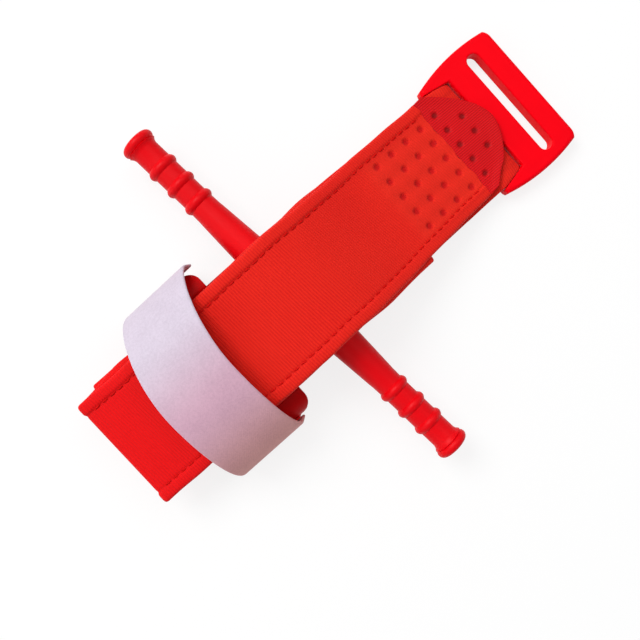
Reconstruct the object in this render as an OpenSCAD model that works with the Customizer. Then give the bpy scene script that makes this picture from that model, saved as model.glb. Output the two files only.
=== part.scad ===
// Windlass tourniquet, folded for storage.
// +X runs along the strap towards the buckle, +Y across it, +Z up from the base plate's flat underside.
// The origin is on that underside, straight below the middle of the rod.

/* [Strap] */
// Overall length of the opened tourniquet, from the buckle's outer edge to the tip
strap_length = 950; // [850:10:1000]
// Width of the strap's sleeve
sleeve_w = 38; // [34:0.5:42]
// Thickness of one cloth of the sleeve
cloth_t = 0.55; // [0.4:0.05:0.7]
// Width of the tension strap inside the sleeve
inner_w = 25; // [20:0.5:28]
// Thickness of the tension strap
inner_t = 1; // [0.8:0.1:1.4]
// Distance from the rod to the folds at the clip's end
fold_rear = 61; // [56:1:70]
// How far the topmost fold lies beyond the others
top_fold_extra = 6.5; // [3:0.5:10]
// Height from one folded layer to the next
layer_pitch = 1.55; // [1.5:0.05:1.9]

/* [Tip] */
// How far the tip reaches past the buckle's anchor bar
tip_reach = 8.5; // [4:0.5:12]
// Length of the dark tab that shows beyond the sleeve
tab_show = 17; // [10:1:22]
// Length of the tab that is welded inside the sleeve
tab_inside = 26; // [20:1:34]
// Thickness of the tab
tab_t = 0.5; // [0.3:0.1:0.6]
// Length over which the tip narrows
tip_round_l = 13.5; // [6:0.5:15]
// Fullness of the tip's curve, from straight cuts at 1 to blunt at 3
tip_fullness = 1.8; // [1:0.1:3]

/* [Rod] */
// Length of the rod
rod_l = 133; // [120:1:150]
// Height of the rod's axis above the underside
rod_z = 10.7; // [10.5:0.1:12]
// Diameter at the middle
rod_mid_d = 11.6; // [10.5:0.1:12]
// Diameter where the rod leaves the strap
rod_edge_d = 10.5; // [9:0.1:11]
// Diameter just before the grip ribs
rod_grip_d = 8.7; // [8:0.1:9.4]
// Diameter of the necks between the ribs
neck_d = 8.3; // [7:0.1:8.8]
// Diameter of the grip ribs
rib_d = 9.9; // [9.4:0.1:10.6]
// Width of each grip rib
rib_w = 2.9; // [2:0.1:3.6]
// Distance from one rib to the next
rib_pitch = 7.2; // [6:0.1:8]
// Distance from the rod's end to the nearest rib's middle
rib_start = 11.6; // [10:0.1:13]
// Number of ribs on each grip
rib_count = 3; // [2:1:4]
// Diameter of the end flanges
flange_d = 10.8; // [10:0.1:11.6]
// Thickness of the end flanges
flange_t = 3.2; // [2.4:0.1:4]
// Turn of the rod away from square across the strap
rod_skew = 4; // [0:0.5:5]

/* [Clip plate] */
// Thickness of the base plate
plate_t = 2.2; // [1.8:0.1:3]
// Length of the base plate in front of the rod
plate_front = 24; // [22:1:30]
// Length of the base plate behind the rod
plate_rear = 49; // [47:1:54]
// Distance from the rod to the near end of the hooks
hook_near = 18; // [17:0.5:21]
// Length of the hooks along the strap
hook_l = 29; // [22:0.5:30]
// Corner radius of the hooks, seen from above
hook_corner = 4.5; // [2:0.5:6]
// Radius of the space inside the hooks
hook_r = 4.6; // [4.5:0.1:5.4]
// Wall of the hooks
hook_wall = 2; // [1.6:0.1:2.6]
// Width of the bridge bar over the strap
bridge_w = 4.5; // [3:0.5:6]
// Thickness of the bridge bar
bridge_t = 1.8; // [1.4:0.1:2.4]

/* [Retaining strap] */
// Width of the white strap
band_w = 24; // [18:0.5:25]
// Thickness of the white strap
band_t = 1; // [0.8:0.1:1.4]
// Slack of its arch over the edges of the folded tail
band_slack = 0.8; // [0.2:0.1:3]
// Lean of the arch away from the rod
band_lean = 10; // [6:0.5:12]
// How far its middle lies behind the middle of the hooks
band_offset = 3; // [1:0.5:4]
// How far the sewn end stands out in front of it
anchor_shift = 5.5; // [0:0.5:6]
// Height of its lower ends above the underside
band_foot = 3; // [2.5:0.5:5]
// Thickness of the hook pad and of the sewn seat
pad_t = 0.8; // [0.5:0.1:1.2]

/* [Buckle] */
// Distance from the rod to the buckle's anchor bar
bar_x = 75; // [72:1:80]
// Diameter of the anchor bar
bar_d = 4.4; // [4:0.1:4.8]
// Length of the buckle from the anchor bar to its outer edge
buckle_reach = 26; // [24:0.5:30]
// Length of the wings behind the anchor bar
wing_l = 3.8; // [3:0.1:5]
// Largest width of the buckle
buckle_w = 46.8; // [44:0.1:52]
// Radius of the buckle's convex sides
buckle_side_r = 60; // [50:1:90]
// Corner radius of the buckle
buckle_corner = 4; // [2:0.5:6]
// Thickness of the buckle
buckle_t = 5.6; // [4.6:0.1:6]
// Width of the bar beyond the open slot
outer_bar_w = 7.3; // [5:0.1:9]
// Width of the open slot along the strap
slot_w = 4.6; // [4.4:0.1:5.4]
// Width of the strap's pocket at the middle bar
pocket_w = 35; // [33:0.5:37]
// Radius of the buckle's rounded edges
buckle_edge = 1.6; // [0.6:0.1:2]

/* [Fits] */
// Gap between pieces that move past each other
gap = 0.3; // [0.3:0.05:0.4]
// Gap between the strap's edges and what stands beside them
side_gap = 0.4; // [0.3:0.1:0.6]

/* [Hidden] */
$fn = 64;

// Colours of the mouldings, the cloth and the white strap
plastic_red = [0.93, 0.04, 0.08];
cloth_red = [0.85, 0.15, 0.11];
tab_red = [0.62, 0.05, 0.07];
hook_red = [0.55, 0.03, 0.04];
strap_white = [0.88, 0.85, 0.89];

// Heights of the flat sleeve on the base plate
sleeve_t = 2 * cloth_t;
lower_z = plate_t + cloth_t / 2;
inner_z = plate_t + cloth_t + inner_t / 2;
upper_z = plate_t + cloth_t + inner_t + cloth_t / 2;
sleeve_top = upper_z + cloth_t / 2;

// Where the tension strap leaves the sleeve, rises and enters the rod
mouth_x = 17.5;
ramp_x = 16;
ramp_bend = 1.5;
ramp_rise = 0.6;
slot_x = rod_mid_d / 2 + 1;
slot_play = 0.4;
rod_slot_h = inner_t + 2 * slot_play;
skew_shift = rod_mid_d * tan(rod_skew);
rod_slot_l = inner_w + 2 * gap + rod_slot_h + skew_shift;

// The folded layers rest on the rod and come down on both sides of it
layer_count = 7;
folded_runs = layer_count - 1;
crest_z = rod_z + rod_mid_d / 2 + gap;
foot_z = sleeve_top + gap;
crest_rise = crest_z - foot_z;
bell_angle = 150;
top_fold_x = -fold_rear - top_fold_extra;
join_inset = 9;
fold_join_x = -fold_rear + join_inset;
first_fold_r = (foot_z + cloth_t - inner_z) / 2;
tip_x = bar_x + tip_reach;

// Length of the folded runs, from the length of the whole strap
fixed_runs = (bar_x + fold_rear) + top_fold_extra + (tip_x - top_fold_x);
fold_arcs = PI * first_fold_r + folded_runs * PI * layer_pitch / 2;
flat_run = (strap_length - buckle_reach - fixed_runs - fold_arcs) / folded_runs;
front_guess = flat_run - fold_rear;
climb = pow(PI / 2 * crest_rise, 2) / 4 * (1 / fold_rear + 1 / front_guess);
fold_front = front_guess - climb * layer_count / folded_runs;

// The top run hinges beside the white strap, and its tip comes down on the buckle
bar_z = inner_z;
loop_r = bar_d / 2 + gap + cloth_t / 2;
tip_z = max(bar_z + loop_r + cloth_t / 2, bar_z + buckle_t / 2) + gap + sleeve_t / 2;
peel_inset = 2;
peel_x = -hook_near - peel_inset;
tip_land = 7;
drop_end = bar_x - tip_land;
sleeve_end = tip_x - tab_show;
tab_start = sleeve_end - tab_inside;
tip_steps = 8;

// Hooks and the white strap over them
hook_y = sleeve_w / 2 + side_gap + hook_wall / 2;
hook_out = hook_y + hook_r + hook_wall;
hook_drop = 0.5;
hook_z = rod_z - hook_drop;
hook_mid_x = -hook_near - hook_l / 2;
band_in = hook_out + pad_t + gap;
band_mid_x = hook_mid_x - band_offset;
band_r = band_in + band_t / 2;
post_t = 1.6;
plate_half_w = sleeve_w / 2 + side_gap + post_t;
plate_corner = 4;
pad_inset = 2;

// Buckle stations along the strap
buckle_out_x = bar_x + buckle_reach;
slot_out_x = buckle_out_x - outer_bar_w;
slot_in_x = slot_out_x - slot_w;
loop_out_x = bar_x + loop_r + cloth_t / 2;
pocket_play = 3;
mid_bar_x = loop_out_x + pocket_play;
wing_x = bar_x - wing_l;
wing_in = sleeve_w / 2 + side_gap;
slot_half_l = sleeve_w / 2 + gap;
cut_extra = 1;

// The strap's looped end narrows to pass the pocket's slanted walls
pocket_slant = (wing_in - pocket_w / 2) / (mid_bar_x - wing_x);
loop_half_w = wing_in - pocket_slant * (loop_out_x - wing_x) - gap;
taper_l = 5;
taper_end_x = wing_x - 5 * gap;

// Points and outlines of cloth runs, drawn in the plane along the strap
function bell(s) = (cos(bell_angle * s) - cos(bell_angle)) / (1 - cos(bell_angle));
function saddle(x) =
    foot_z + crest_rise * bell(min(1, x < 0 ? -x / fold_rear : x / fold_front));
function layer_z(i, x) = saddle(x) + sleeve_t / 2 + (i - 1) * layer_pitch;
function layer_run(i, x0, x1, n) =
    [for (k = [0:n]) let (x = x0 + (x1 - x0) * k / n) [x, layer_z(i, x)]];
function fold_arc(x, z0, z1, side, n = 8) =
    let (r = (z1 - z0) / 2)
    [for (k = [1:n - 1]) [x + side * r * sin(180 * k / n), z0 + r - r * cos(180 * k / n)]];
function slope_at(p, i) =
    let (a = p[max(0, i - 1)], b = p[min(len(p) - 1, i + 1)], d = b - a) d / norm(d);
function beside(p, d) = [for (i = [0:len(p) - 1]) let (s = slope_at(p, i)) p[i] + d * [-s.y, s.x]];
function turned(p) = [for (i = [len(p) - 1:-1:0]) p[i]];
function ease(z0, m0, z1, l, s) =
    z0 * (2 * pow(s, 3) - 3 * s * s + 1) + m0 * l * (pow(s, 3) - 2 * s * s + s)
    + z1 * (3 * s * s - 2 * pow(s, 3));

// Height of the top run's middle, from the crest to the tip
drop_z = layer_z(layer_count, fold_front);
drop_slope = drop_z - layer_z(layer_count, fold_front - 1);
function tail_z(x) =
    x <= fold_front ? layer_z(layer_count, x)
    : x >= drop_end ? tip_z
    : ease(drop_z, drop_slope, tip_z, drop_end - fold_front, (x - fold_front) / (drop_end - fold_front));
function tail_run(x0, x1, n) = [for (k = [0:n]) let (x = x0 + (x1 - x0) * k / n) [x, tail_z(x)]];

// The folded tail: base run, first fold, then runs to and fro up to the white strap
run_steps = 24;
end_steps = 14;
tail_steps = 40;
tab_steps = 30;
rear_folds = [for (i = [1:layer_count]) i == layer_count || i == folded_runs ? top_fold_x : -fold_rear];
folded_path = concat(
    [[fold_join_x, inner_z], [-fold_rear, inner_z]],
    fold_arc(-fold_rear, inner_z, layer_z(1, -fold_rear), -1),
    [for (i = [1:folded_runs])
        each i % 2 == 1
            ? concat(layer_run(i, rear_folds[i - 1], fold_front, run_steps),
                fold_arc(fold_front, layer_z(i, fold_front), layer_z(i + 1, fold_front), 1))
            : concat(layer_run(i, fold_front, rear_folds[i - 1], run_steps),
                fold_arc(rear_folds[i], layer_z(i, rear_folds[i]), layer_z(i + 1, rear_folds[i]), -1))],
    layer_run(layer_count, top_fold_x, peel_x - gap / 2, end_steps)
);
tail_path = tail_run(peel_x + gap / 2, sleeve_end, tail_steps);
tab_path = tail_run(tab_start, tip_x, tab_steps);

// Lower cloth: along the plate, down under the anchor bar, round it and back on top of the sleeve
loop_lead_x = bar_x - 14;
loop_ramp_x = bar_x - 8;
loop_near_x = bar_x - 3;
loop_seam_x = bar_x - 10;
loop_dip = 1;
loop_back = 9;
loop_path = concat(
    [[fold_join_x, lower_z], [loop_lead_x, lower_z], [loop_ramp_x, lower_z - loop_dip],
     [loop_near_x, bar_z - loop_r]],
    [for (a = [-90:15:90]) [bar_x + loop_r * cos(a), bar_z + loop_r * sin(a)]],
    [[loop_near_x, bar_z + loop_r], [loop_ramp_x, sleeve_top + cloth_t],
     [loop_seam_x, sleeve_top + cloth_t / 2], [loop_seam_x - loop_back, sleeve_top + cloth_t / 2]]
);

module ribbon(path, thick, width) {
    rotate([90, 0, 0])
        linear_extrude(height = width, center = true)
            polygon(concat(beside(path, thick / 2), turned(beside(path, -thick / 2))));
}

// Flat slab with two rounded or square ends in plan
module rounded_plan(x0, x1, half_w, r) {
    translate([x0 + r, -half_w])
        square([x1 - x0 - 2 * r, 2 * half_w]);
    translate([x0, -half_w + r])
        square([x1 - x0, 2 * (half_w - r)]);
    for (x = [x0 + r, x1 - r], y = [-half_w + r, half_w - r])
        translate([x, y])
            circle(r);
}

module slot_plan(x0, x1, half_l) {
    r = (x1 - x0) / 2;
    translate([x0, -half_l + r])
        square([2 * r, 2 * (half_l - r)]);
    for (side = [-1, 1])
        translate([x0 + r, side * (half_l - r)])
            circle(r);
}

// Buckle: rounded in front and behind, with two convex sides that are rims of large rounded discs
module rounded_disc(r, thick, edge) {
    rotate_extrude($fn = 200)
        intersection() {
            rounded_plan(-r, r, thick / 2, edge);
            translate([0, -thick])
                square([r + 1, 2 * thick]);
        }
}

module buckle_blank() {
    side_x = bar_x + buckle_reach / 2;
    side_y = buckle_side_r - buckle_w / 2;
    intersection() {
        rotate([90, 0, 0])
            linear_extrude(height = buckle_w, center = true)
                rounded_plan(wing_x, buckle_out_x, buckle_t / 2, buckle_edge);
        linear_extrude(height = 2 * buckle_t, center = true)
            rounded_plan(wing_x, buckle_out_x, buckle_w / 2, buckle_corner);
        translate([side_x, side_y])
            rounded_disc(buckle_side_r, buckle_t, buckle_edge);
        translate([side_x, -side_y])
            rounded_disc(buckle_side_r, buckle_t, buckle_edge);
    }
}

module pocket_plan() {
    near = wing_x - cut_extra;
    polygon([[near, -wing_in], [wing_x, -wing_in], [mid_bar_x, -pocket_w / 2],
             [mid_bar_x, pocket_w / 2], [wing_x, wing_in], [near, wing_in]]);
}

module buckle() {
    color(plastic_red)
        translate([0, 0, bar_z]) {
            difference() {
                buckle_blank();
                linear_extrude(height = 2 * buckle_t, center = true) {
                    slot_plan(slot_in_x, slot_out_x, slot_half_l);
                    pocket_plan();
                }
            }
            translate([bar_x, 0, 0])
                rotate([90, 0, 0])
                    cylinder(d = bar_d, h = 2 * wing_in + cut_extra, center = true);
        }
}

// Cloths of the sleeve
module sleeve_lower() {
    color(cloth_red)
        intersection() {
            ribbon(loop_path, cloth_t, sleeve_w);
            linear_extrude(height = crest_z, center = true)
                loop_plan();
        }
}

module loop_plan() {
    side = [
        [fold_join_x - cut_extra, sleeve_w / 2 + cut_extra],
        [taper_end_x - taper_l - cut_extra, sleeve_w / 2 + cut_extra],
        [taper_end_x - taper_l, sleeve_w / 2],
        [taper_end_x, loop_half_w],
        [buckle_out_x, loop_half_w]
    ];
    polygon(concat(side, [for (p = turned(side)) [p.x, -p.y]]));
}

module sleeve_upper_front() {
    color(cloth_red)
        ribbon([[mouth_x, upper_z], [loop_seam_x, upper_z]], cloth_t, sleeve_w);
}

module sleeve_upper_rear() {
    color(cloth_red)
        ribbon([[fold_join_x, upper_z], [-mouth_x, upper_z]], cloth_t, sleeve_w);
}

// Tension strap
module inner_strap_front() {
    color(cloth_red)
        ribbon([[ramp_x, inner_z], [loop_lead_x, inner_z]], inner_t, inner_w);
}

module inner_strap_rear() {
    color(cloth_red)
        ribbon([[fold_join_x, inner_z], [-ramp_x, inner_z]], inner_t, inner_w);
}

// One side of the stretch that rises from the sleeve to the rod's slot
function ramp_side() = [
    [slot_x, rod_z], [slot_x + ramp_bend, rod_z - ramp_rise], [ramp_x - 2 * ramp_bend, inner_z + ramp_rise],
    [ramp_x - ramp_bend, inner_z], [ramp_x - gap / 2, inner_z]
];

module inner_strap_bridge() {
    front = ramp_side();
    rear = [for (p = turned(front)) [-p.x, p.y]];
    color(cloth_red)
        ribbon(concat(rear, front), inner_t, inner_w);
}

// Rod: a revolved profile with a slot for the tension strap
function rib_profile(y) =
    [for (k = [0:6]) let (a = 180 * k / 6)
        [neck_d / 2 + (rib_d - neck_d) / 2 * sin(a), y - rib_w / 2 * cos(a)]];

function end_profile(y) =
    let (r = flange_t / 2)
    [for (k = [0:6]) let (a = 90 * k / 6) [flange_d / 2 - r + r * cos(a), y + r * sin(a)]];

module rod_half() {
    half = rod_l / 2;
    grip_lead = 3;
    neck_taper = 1.5;
    slot_land = 2;
    grip_y = half - rib_start - (rib_count - 1) * rib_pitch - rib_w / 2 - grip_lead;
    rotate([-90, 0, 0])
        rotate_extrude()
            polygon(concat(
                [[0, 0], [rod_mid_d / 2, 0], [rod_mid_d / 2, rod_slot_l / 2 - slot_land],
                 [rod_edge_d / 2, sleeve_w / 2], [rod_grip_d / 2, grip_y - neck_taper], [neck_d / 2, grip_y]],
                [for (i = [rib_count - 1:-1:0]) each rib_profile(half - rib_start - i * rib_pitch)],
                [[neck_d / 2, half - flange_t - neck_taper], [flange_d / 2, half - flange_t]],
                end_profile(half - flange_t / 2),
                [[0, half]]
            ));
}

module windlass_rod() {
    color(plastic_red)
        translate([0, 0, rod_z])
            rotate([0, 0, rod_skew])
                difference() {
                    union() {
                        rod_half();
                        mirror([0, 1, 0])
                            rod_half();
                    }
                    rotate([0, 90, 0])
                        linear_extrude(height = 2 * rod_mid_d, center = true)
                            slot_plan(-rod_slot_h / 2, rod_slot_h / 2, rod_slot_l / 2);
                }
}

// Base plate with hooks
module hook_profile() {
    lip_r = hook_wall / 2;
    difference() {
        union() {
            translate([hook_y, hook_z])
                circle(hook_r + hook_wall);
            translate([hook_y, 0])
                square([hook_r + hook_wall, hook_z]);
        }
        translate([hook_y, hook_z])
            circle(hook_r);
        translate([hook_y - 2 * hook_out, -1])
            square([2 * hook_out, 3 * hook_z]);
    }
    translate([hook_y, hook_z + hook_r + lip_r])
        circle(lip_r);
}

module hook() {
    translate([-hook_near - hook_l, 0, 0])
        rotate([90, 0, 90])
            linear_extrude(height = hook_l)
                hook_profile();
}

module hooks() {
    intersection() {
        for (side = [0, 1])
            mirror([0, side, 0])
                hook();
        linear_extrude(height = 2 * crest_z)
            rounded_plan(-hook_near - hook_l, -hook_near, hook_out, hook_corner);
    }
}

module bridge() {
    bridge_x = plate_front - plate_corner - bridge_w;
    bar_low = sleeve_top + gap;
    translate([bridge_x, -plate_half_w, bar_low])
        cube([bridge_w, 2 * plate_half_w, bridge_t]);
    for (side = [-1, 1])
        translate([bridge_x, side * (plate_half_w - post_t / 2) - post_t / 2, plate_t / 2])
            cube([bridge_w, post_t, bar_low + bridge_t - plate_t / 2]);
}

module clip_plate() {
    color(hook_red) {
        linear_extrude(height = plate_t)
            rounded_plan(-plate_rear, plate_front, plate_half_w, plate_corner);
        hooks();
        bridge();
    }
}

// Folded tail
module folded_tail() {
    color(cloth_red)
        ribbon(folded_path, sleeve_t, sleeve_w);
}

module tail_end() {
    color(cloth_red)
        difference() {
            ribbon(tail_path, sleeve_t, sleeve_w);
            ribbon(tab_path, tab_t, sleeve_w + 2);
        }
}

module tip_tab() {
    color(tab_red)
        intersection() {
            ribbon(tab_path, tab_t, sleeve_w);
            linear_extrude(height = 4 * crest_z)
                polygon(concat(
                    [[tab_start - 1, sleeve_w / 2], [tab_start - 1, -sleeve_w / 2]],
                    [for (k = [-tip_steps:tip_steps])
                        let (side = k / tip_steps)
                        [tip_x - tip_round_l * pow(abs(side), tip_fullness), side * sleeve_w / 2]]
                ));
        }
}

// White strap: an arch from the sewn seat on one hook to the pad on the other, just clear of the folded tail
edge_angle = acos(sleeve_w / 2 / band_r);
edge_z = layer_z(layer_count, band_mid_x + band_w / 2) + sleeve_t / 2 + band_slack;
band_rise = (edge_z + band_t - hook_z) / sin(edge_angle);
arch_path = concat(
    [for (a = [0:7.5:180]) [band_r * cos(a), hook_z + band_rise * sin(a)]],
    [[-band_r, band_foot]]
);

// Draws an outline across the strap and leans it with the white strap
module along_strap(width, shift = 0) {
    translate([band_mid_x, 0, hook_z])
        rotate([0, -band_lean, 0])
            translate([shift, 0, 0])
                rotate([90, 0, 90])
                    linear_extrude(height = width, center = true)
                        translate([0, -hook_z])
                            children();
}

module retaining_strap() {
    color(strap_white)
        along_strap(band_w)
            polygon(concat(beside(arch_path, band_t / 2), turned(beside(arch_path, -band_t / 2))));
}

module strap_anchor_patch() {
    color(strap_white)
        along_strap(band_w, anchor_shift)
            translate([hook_out, band_foot])
                square([pad_t + gap + band_t, hook_z - band_foot - gap]);
}

module hook_pad() {
    color(tab_red)
        along_strap(band_w - 2 * pad_inset)
            translate([-hook_out - pad_t, band_foot])
                square([pad_t, hook_z - band_foot]);
}

buckle();
sleeve_lower();
sleeve_upper_front();
sleeve_upper_rear();
inner_strap_front();
inner_strap_rear();
inner_strap_bridge();
windlass_rod();
clip_plate();
folded_tail();
tail_end();
tip_tab();
retaining_strap();
strap_anchor_patch();
hook_pad();
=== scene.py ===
"""Looks of a windlass tourniquet that is folded for storage, dressed around its fixed frame.

Lengths are in metres. +X runs along the strap towards the buckle, +Y across it, +Z up.
"""

import math
from functools import partial

import bmesh
import bpy
from bpy.props import FloatProperty, FloatVectorProperty, IntProperty, PointerProperty
from mathutils import Color, Matrix, Vector


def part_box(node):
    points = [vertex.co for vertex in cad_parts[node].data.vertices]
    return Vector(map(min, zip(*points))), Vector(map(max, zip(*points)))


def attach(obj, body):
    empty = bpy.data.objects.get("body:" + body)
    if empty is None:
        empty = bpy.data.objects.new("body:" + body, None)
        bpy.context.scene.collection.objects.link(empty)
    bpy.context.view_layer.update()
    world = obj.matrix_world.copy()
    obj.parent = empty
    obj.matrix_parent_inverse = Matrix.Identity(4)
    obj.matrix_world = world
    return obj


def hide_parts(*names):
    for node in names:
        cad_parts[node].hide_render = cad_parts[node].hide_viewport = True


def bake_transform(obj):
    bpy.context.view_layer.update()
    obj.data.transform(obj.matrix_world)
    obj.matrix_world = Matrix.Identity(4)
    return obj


bl_info = {
    "name": "Folded windlass tourniquet",
    "version": (1, 0, 0),
    "blender": (4, 5, 0),
    "location": "3D View > Sidebar > Tourniquet",
    "description": "Dresses the frame of a folded windlass tourniquet with cloth, mouldings and stitching",
    "category": "Object",
}

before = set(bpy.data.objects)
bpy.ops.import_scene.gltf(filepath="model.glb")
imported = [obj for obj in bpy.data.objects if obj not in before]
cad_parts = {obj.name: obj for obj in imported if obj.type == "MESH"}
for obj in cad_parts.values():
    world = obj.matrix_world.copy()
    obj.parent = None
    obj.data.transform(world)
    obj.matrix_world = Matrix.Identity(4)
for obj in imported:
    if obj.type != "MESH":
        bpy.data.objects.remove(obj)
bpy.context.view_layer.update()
MM = 0.001


def node_low(node):
    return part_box(node)[0]


def node_high(node):
    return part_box(node)[1]


def length(name, description, value):
    return FloatProperty(name=name, description=description, default=value, unit="LENGTH", precision=5)


def angle(name, description, degrees):
    return FloatProperty(name=name, description=description, default=math.radians(degrees), subtype="ANGLE")


def number(name, description, value):
    return IntProperty(name=name, description=description, default=value, min=1)


def point(name, description, value):
    return FloatVectorProperty(name=name, description=description, default=value, size=3,
                               subtype="TRANSLATION")


def colour(name, description, *levels):
    """A colour, given as it looks on a screen, from 0 to 255."""
    value = Color([level / 255 for level in levels]).from_srgb_to_scene_linear()
    return FloatVectorProperty(name=name, description=description, default=tuple(value), size=3, min=0, max=1,
                               subtype="COLOR")


class TourniquetCloth(bpy.types.PropertyGroup):
    """Sizes of the sleeve, its folds and its stitching."""
    width: length("Sleeve width", "Width of the strap's sleeve",
                  node_high("tail_end").y - node_low("tail_end").y)
    thickness: length("Sleeve thickness", "Both cloths of the sleeve together", 1.1 * MM)
    cloth: length("Cloth thickness", "One cloth of the sleeve", 0.55 * MM)
    hem: length("Hem width", "Distance from the edge to the stitch line", 4 * MM)
    puff: length("Hem puff", "How far the hem stands above the cloth", 0.3 * MM)
    groove: length("Groove depth", "How far the stitch line is drawn in", 0.3 * MM)
    pitch: length("Layer pitch", "Height from one folded layer to the next", 1.55 * MM)
    layers: number("Layers", "Number of folded layers over the rod", 7)
    fold_rear: length("Rear fold", "Distance from the rod to the rear folds", 61 * MM)
    fold_front: length("Front fold", "Distance from the rod to the front folds", 36.79 * MM)
    top_fold: length("Top fold", "Distance from the rod to the topmost rear fold", 67.5 * MM)
    foot: length("Stack foot", "Underside of the lowest folded layer at its ends", 4.6 * MM)
    crest: length("Stack crest", "Underside of the lowest folded layer over the rod", 16.8 * MM)
    land: length("Landing", "Where the top run has come down on the buckle", 68 * MM)
    rest_height: length("Resting height", "Middle of the top run beyond its landing", 7.15 * MM)
    stitch: length("Stitch pitch", "Distance from one stitch to the next", 2.9 * MM)
    thread: length("Thread", "Thickness of the sewing thread", 0.55 * MM)
    rib: length("Rib pitch", "Distance between the cloth's woven ribs", 0.83 * MM)


class TourniquetTip(bpy.types.PropertyGroup):
    """Sizes of the pull tab and its welds."""
    reach: length("Tip", "Distance from the rod to the tip", node_high("tip_tab").x)
    sleeve_end: length("Sleeve end", "Distance from the rod to the sleeve's end", node_high("tail_end").x)
    round_length: length("Rounding", "Length over which the tip narrows", 13.5 * MM)
    fullness: FloatProperty(name="Fullness", description="Power of the tip's outline", default=1.8)
    thickness: length("Tab thickness", "Thickness of the pull tab", 0.6 * MM)
    weld_first: length("First weld row", "Distance from the rod to the row of welds at the tip", 76.1 * MM)
    weld_along: length("Weld row pitch", "Distance between rows of welds", 6.45 * MM)
    weld_across: length("Weld pitch", "Distance between welds in a row", 5.95 * MM)
    weld_radius: length("Weld radius", "Radius of a weld dimple", 1.15 * MM)
    weld_depth: length("Weld depth", "Depth of a weld dimple", 0.5 * MM)
    weld_rows: number("Weld rows", "Rows of welds, the one at the tip included", 6)


class TourniquetRod(bpy.types.PropertyGroup):
    """Sizes of the rod."""
    length: length("Rod length", "Length from end to end", 133 * MM)
    height: length("Rod height", "Height of the rod's axis", 10.7 * MM)
    middle: length("Middle", "Diameter at the middle", 11.6 * MM)
    edge: length("Edge", "Diameter where the rod leaves the strap", 10.5 * MM)
    edge_y: length("Edge place", "Distance from the middle to where the rod leaves the strap", 19 * MM)
    grip: length("Grip", "Diameter just before the ribs", 8.7 * MM)
    neck: length("Neck", "Diameter between the ribs", 8.3 * MM)
    rib: length("Rib", "Diameter of the ribs", 9.9 * MM)
    rib_width: length("Rib width", "Width of one rib", 2.9 * MM)
    rib_pitch: length("Rib pitch", "Distance between ribs", 7.2 * MM)
    rib_start: length("Rib start", "Distance from the end to the first rib", 11.6 * MM)
    ribs: number("Ribs", "Ribs on each grip", 3)
    flange: length("Flange", "Diameter of the end flange", 10.8 * MM)
    flange_width: length("Flange width", "Thickness of the end flange", 3.2 * MM)
    slot_height: length("Slot height", "Height of the slot for the tension strap", 1.8 * MM)
    slot_length: length("Slot length", "Length of the slot along the rod", 28.2 * MM)
    skew: angle("Skew", "Turn of the rod away from square", 4)


class TourniquetBuckle(bpy.types.PropertyGroup):
    """Sizes of the buckle."""
    bar_x: length("Anchor bar", "Distance from the rod to the anchor bar", 75 * MM)
    bar_height: length("Bar height", "Height of the anchor bar", 3.25 * MM)
    bar: length("Bar diameter", "Diameter of the anchor bar", 4.4 * MM)
    front: length("Front", "Distance from the rod to the outer edge", node_high("buckle").x)
    rear: length("Rear", "Distance from the rod to the ends of the wings", node_low("buckle").x)
    width: length("Width", "Largest width", 46.8 * MM)
    side_radius: length("Side radius", "Radius of the convex sides", 60 * MM)
    corner: length("Corner", "Corner radius in plan", 4 * MM)
    thickness: length("Thickness", "Thickness of the frame", 5.6 * MM)
    edge: length("Edge", "Rounding of the outer edges", 1.3 * MM)
    lip: length("Lip", "Rounding of the slot's and pocket's edges", 0.5 * MM)
    slot_rear: length("Slot rear", "Rear edge of the slot", 89.1 * MM)
    slot_front: length("Slot front", "Front edge of the slot", 93.7 * MM)
    slot_half: length("Half slot", "Half the slot's length", 19.3 * MM)
    pocket_x: length("Middle bar", "Rear face of the middle bar", 81.05 * MM)
    pocket_half: length("Half pocket", "Half the pocket's width at the middle bar", 17.5 * MM)
    wing_half: length("Half opening", "Half the width between the wings", 19.4 * MM)
    swing: angle("Swing", "How far the buckle swings down", 70)


class TourniquetClip(bpy.types.PropertyGroup):
    """Sizes of the base plate, its hooks and its bridge."""
    thickness: length("Plate", "Thickness of the plate", 2.2 * MM)
    half_width: length("Half width", "Half the plate's width", 21 * MM)
    front: length("Front", "Front end of the plate", node_high("clip_plate").x)
    rear: length("Rear", "Rear end of the plate", node_low("clip_plate").x)
    corner: length("Corner", "Corner radius of the plate", 4 * MM)
    edge: length("Edge", "Rounding of the edges", 0.5 * MM)
    hook_near: length("Hook start", "Distance from the rod to the hooks", 18 * MM)
    hook_length: length("Hook length", "Length of the hooks", 25 * MM)
    hook_corner: length("Hook corner", "Corner radius of the hooks, seen from above", 4.5 * MM)
    hook_y: length("Hook middle", "Distance from the middle line to the hook's centre", 20.4 * MM)
    hook_height: length("Hook height", "Height of the hook's centre", 10.2 * MM)
    hook_radius: length("Hook radius", "Radius of the space inside the hook", 4.6 * MM)
    hook_wall: length("Hook wall", "Wall of the hook", 2 * MM)
    bridge_x: length("Bridge", "Rear face of the bridge bar", 15.5 * MM)
    bridge_width: length("Bridge width", "Width of the bridge bar", 4.5 * MM)
    bridge_low: length("Bridge height", "Underside of the bridge bar", 4.6 * MM)
    bridge_thickness: length("Bridge thickness", "Thickness of the bridge bar", 1.8 * MM)
    post: length("Post", "Thickness of the bridge's posts", 1.6 * MM)


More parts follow.
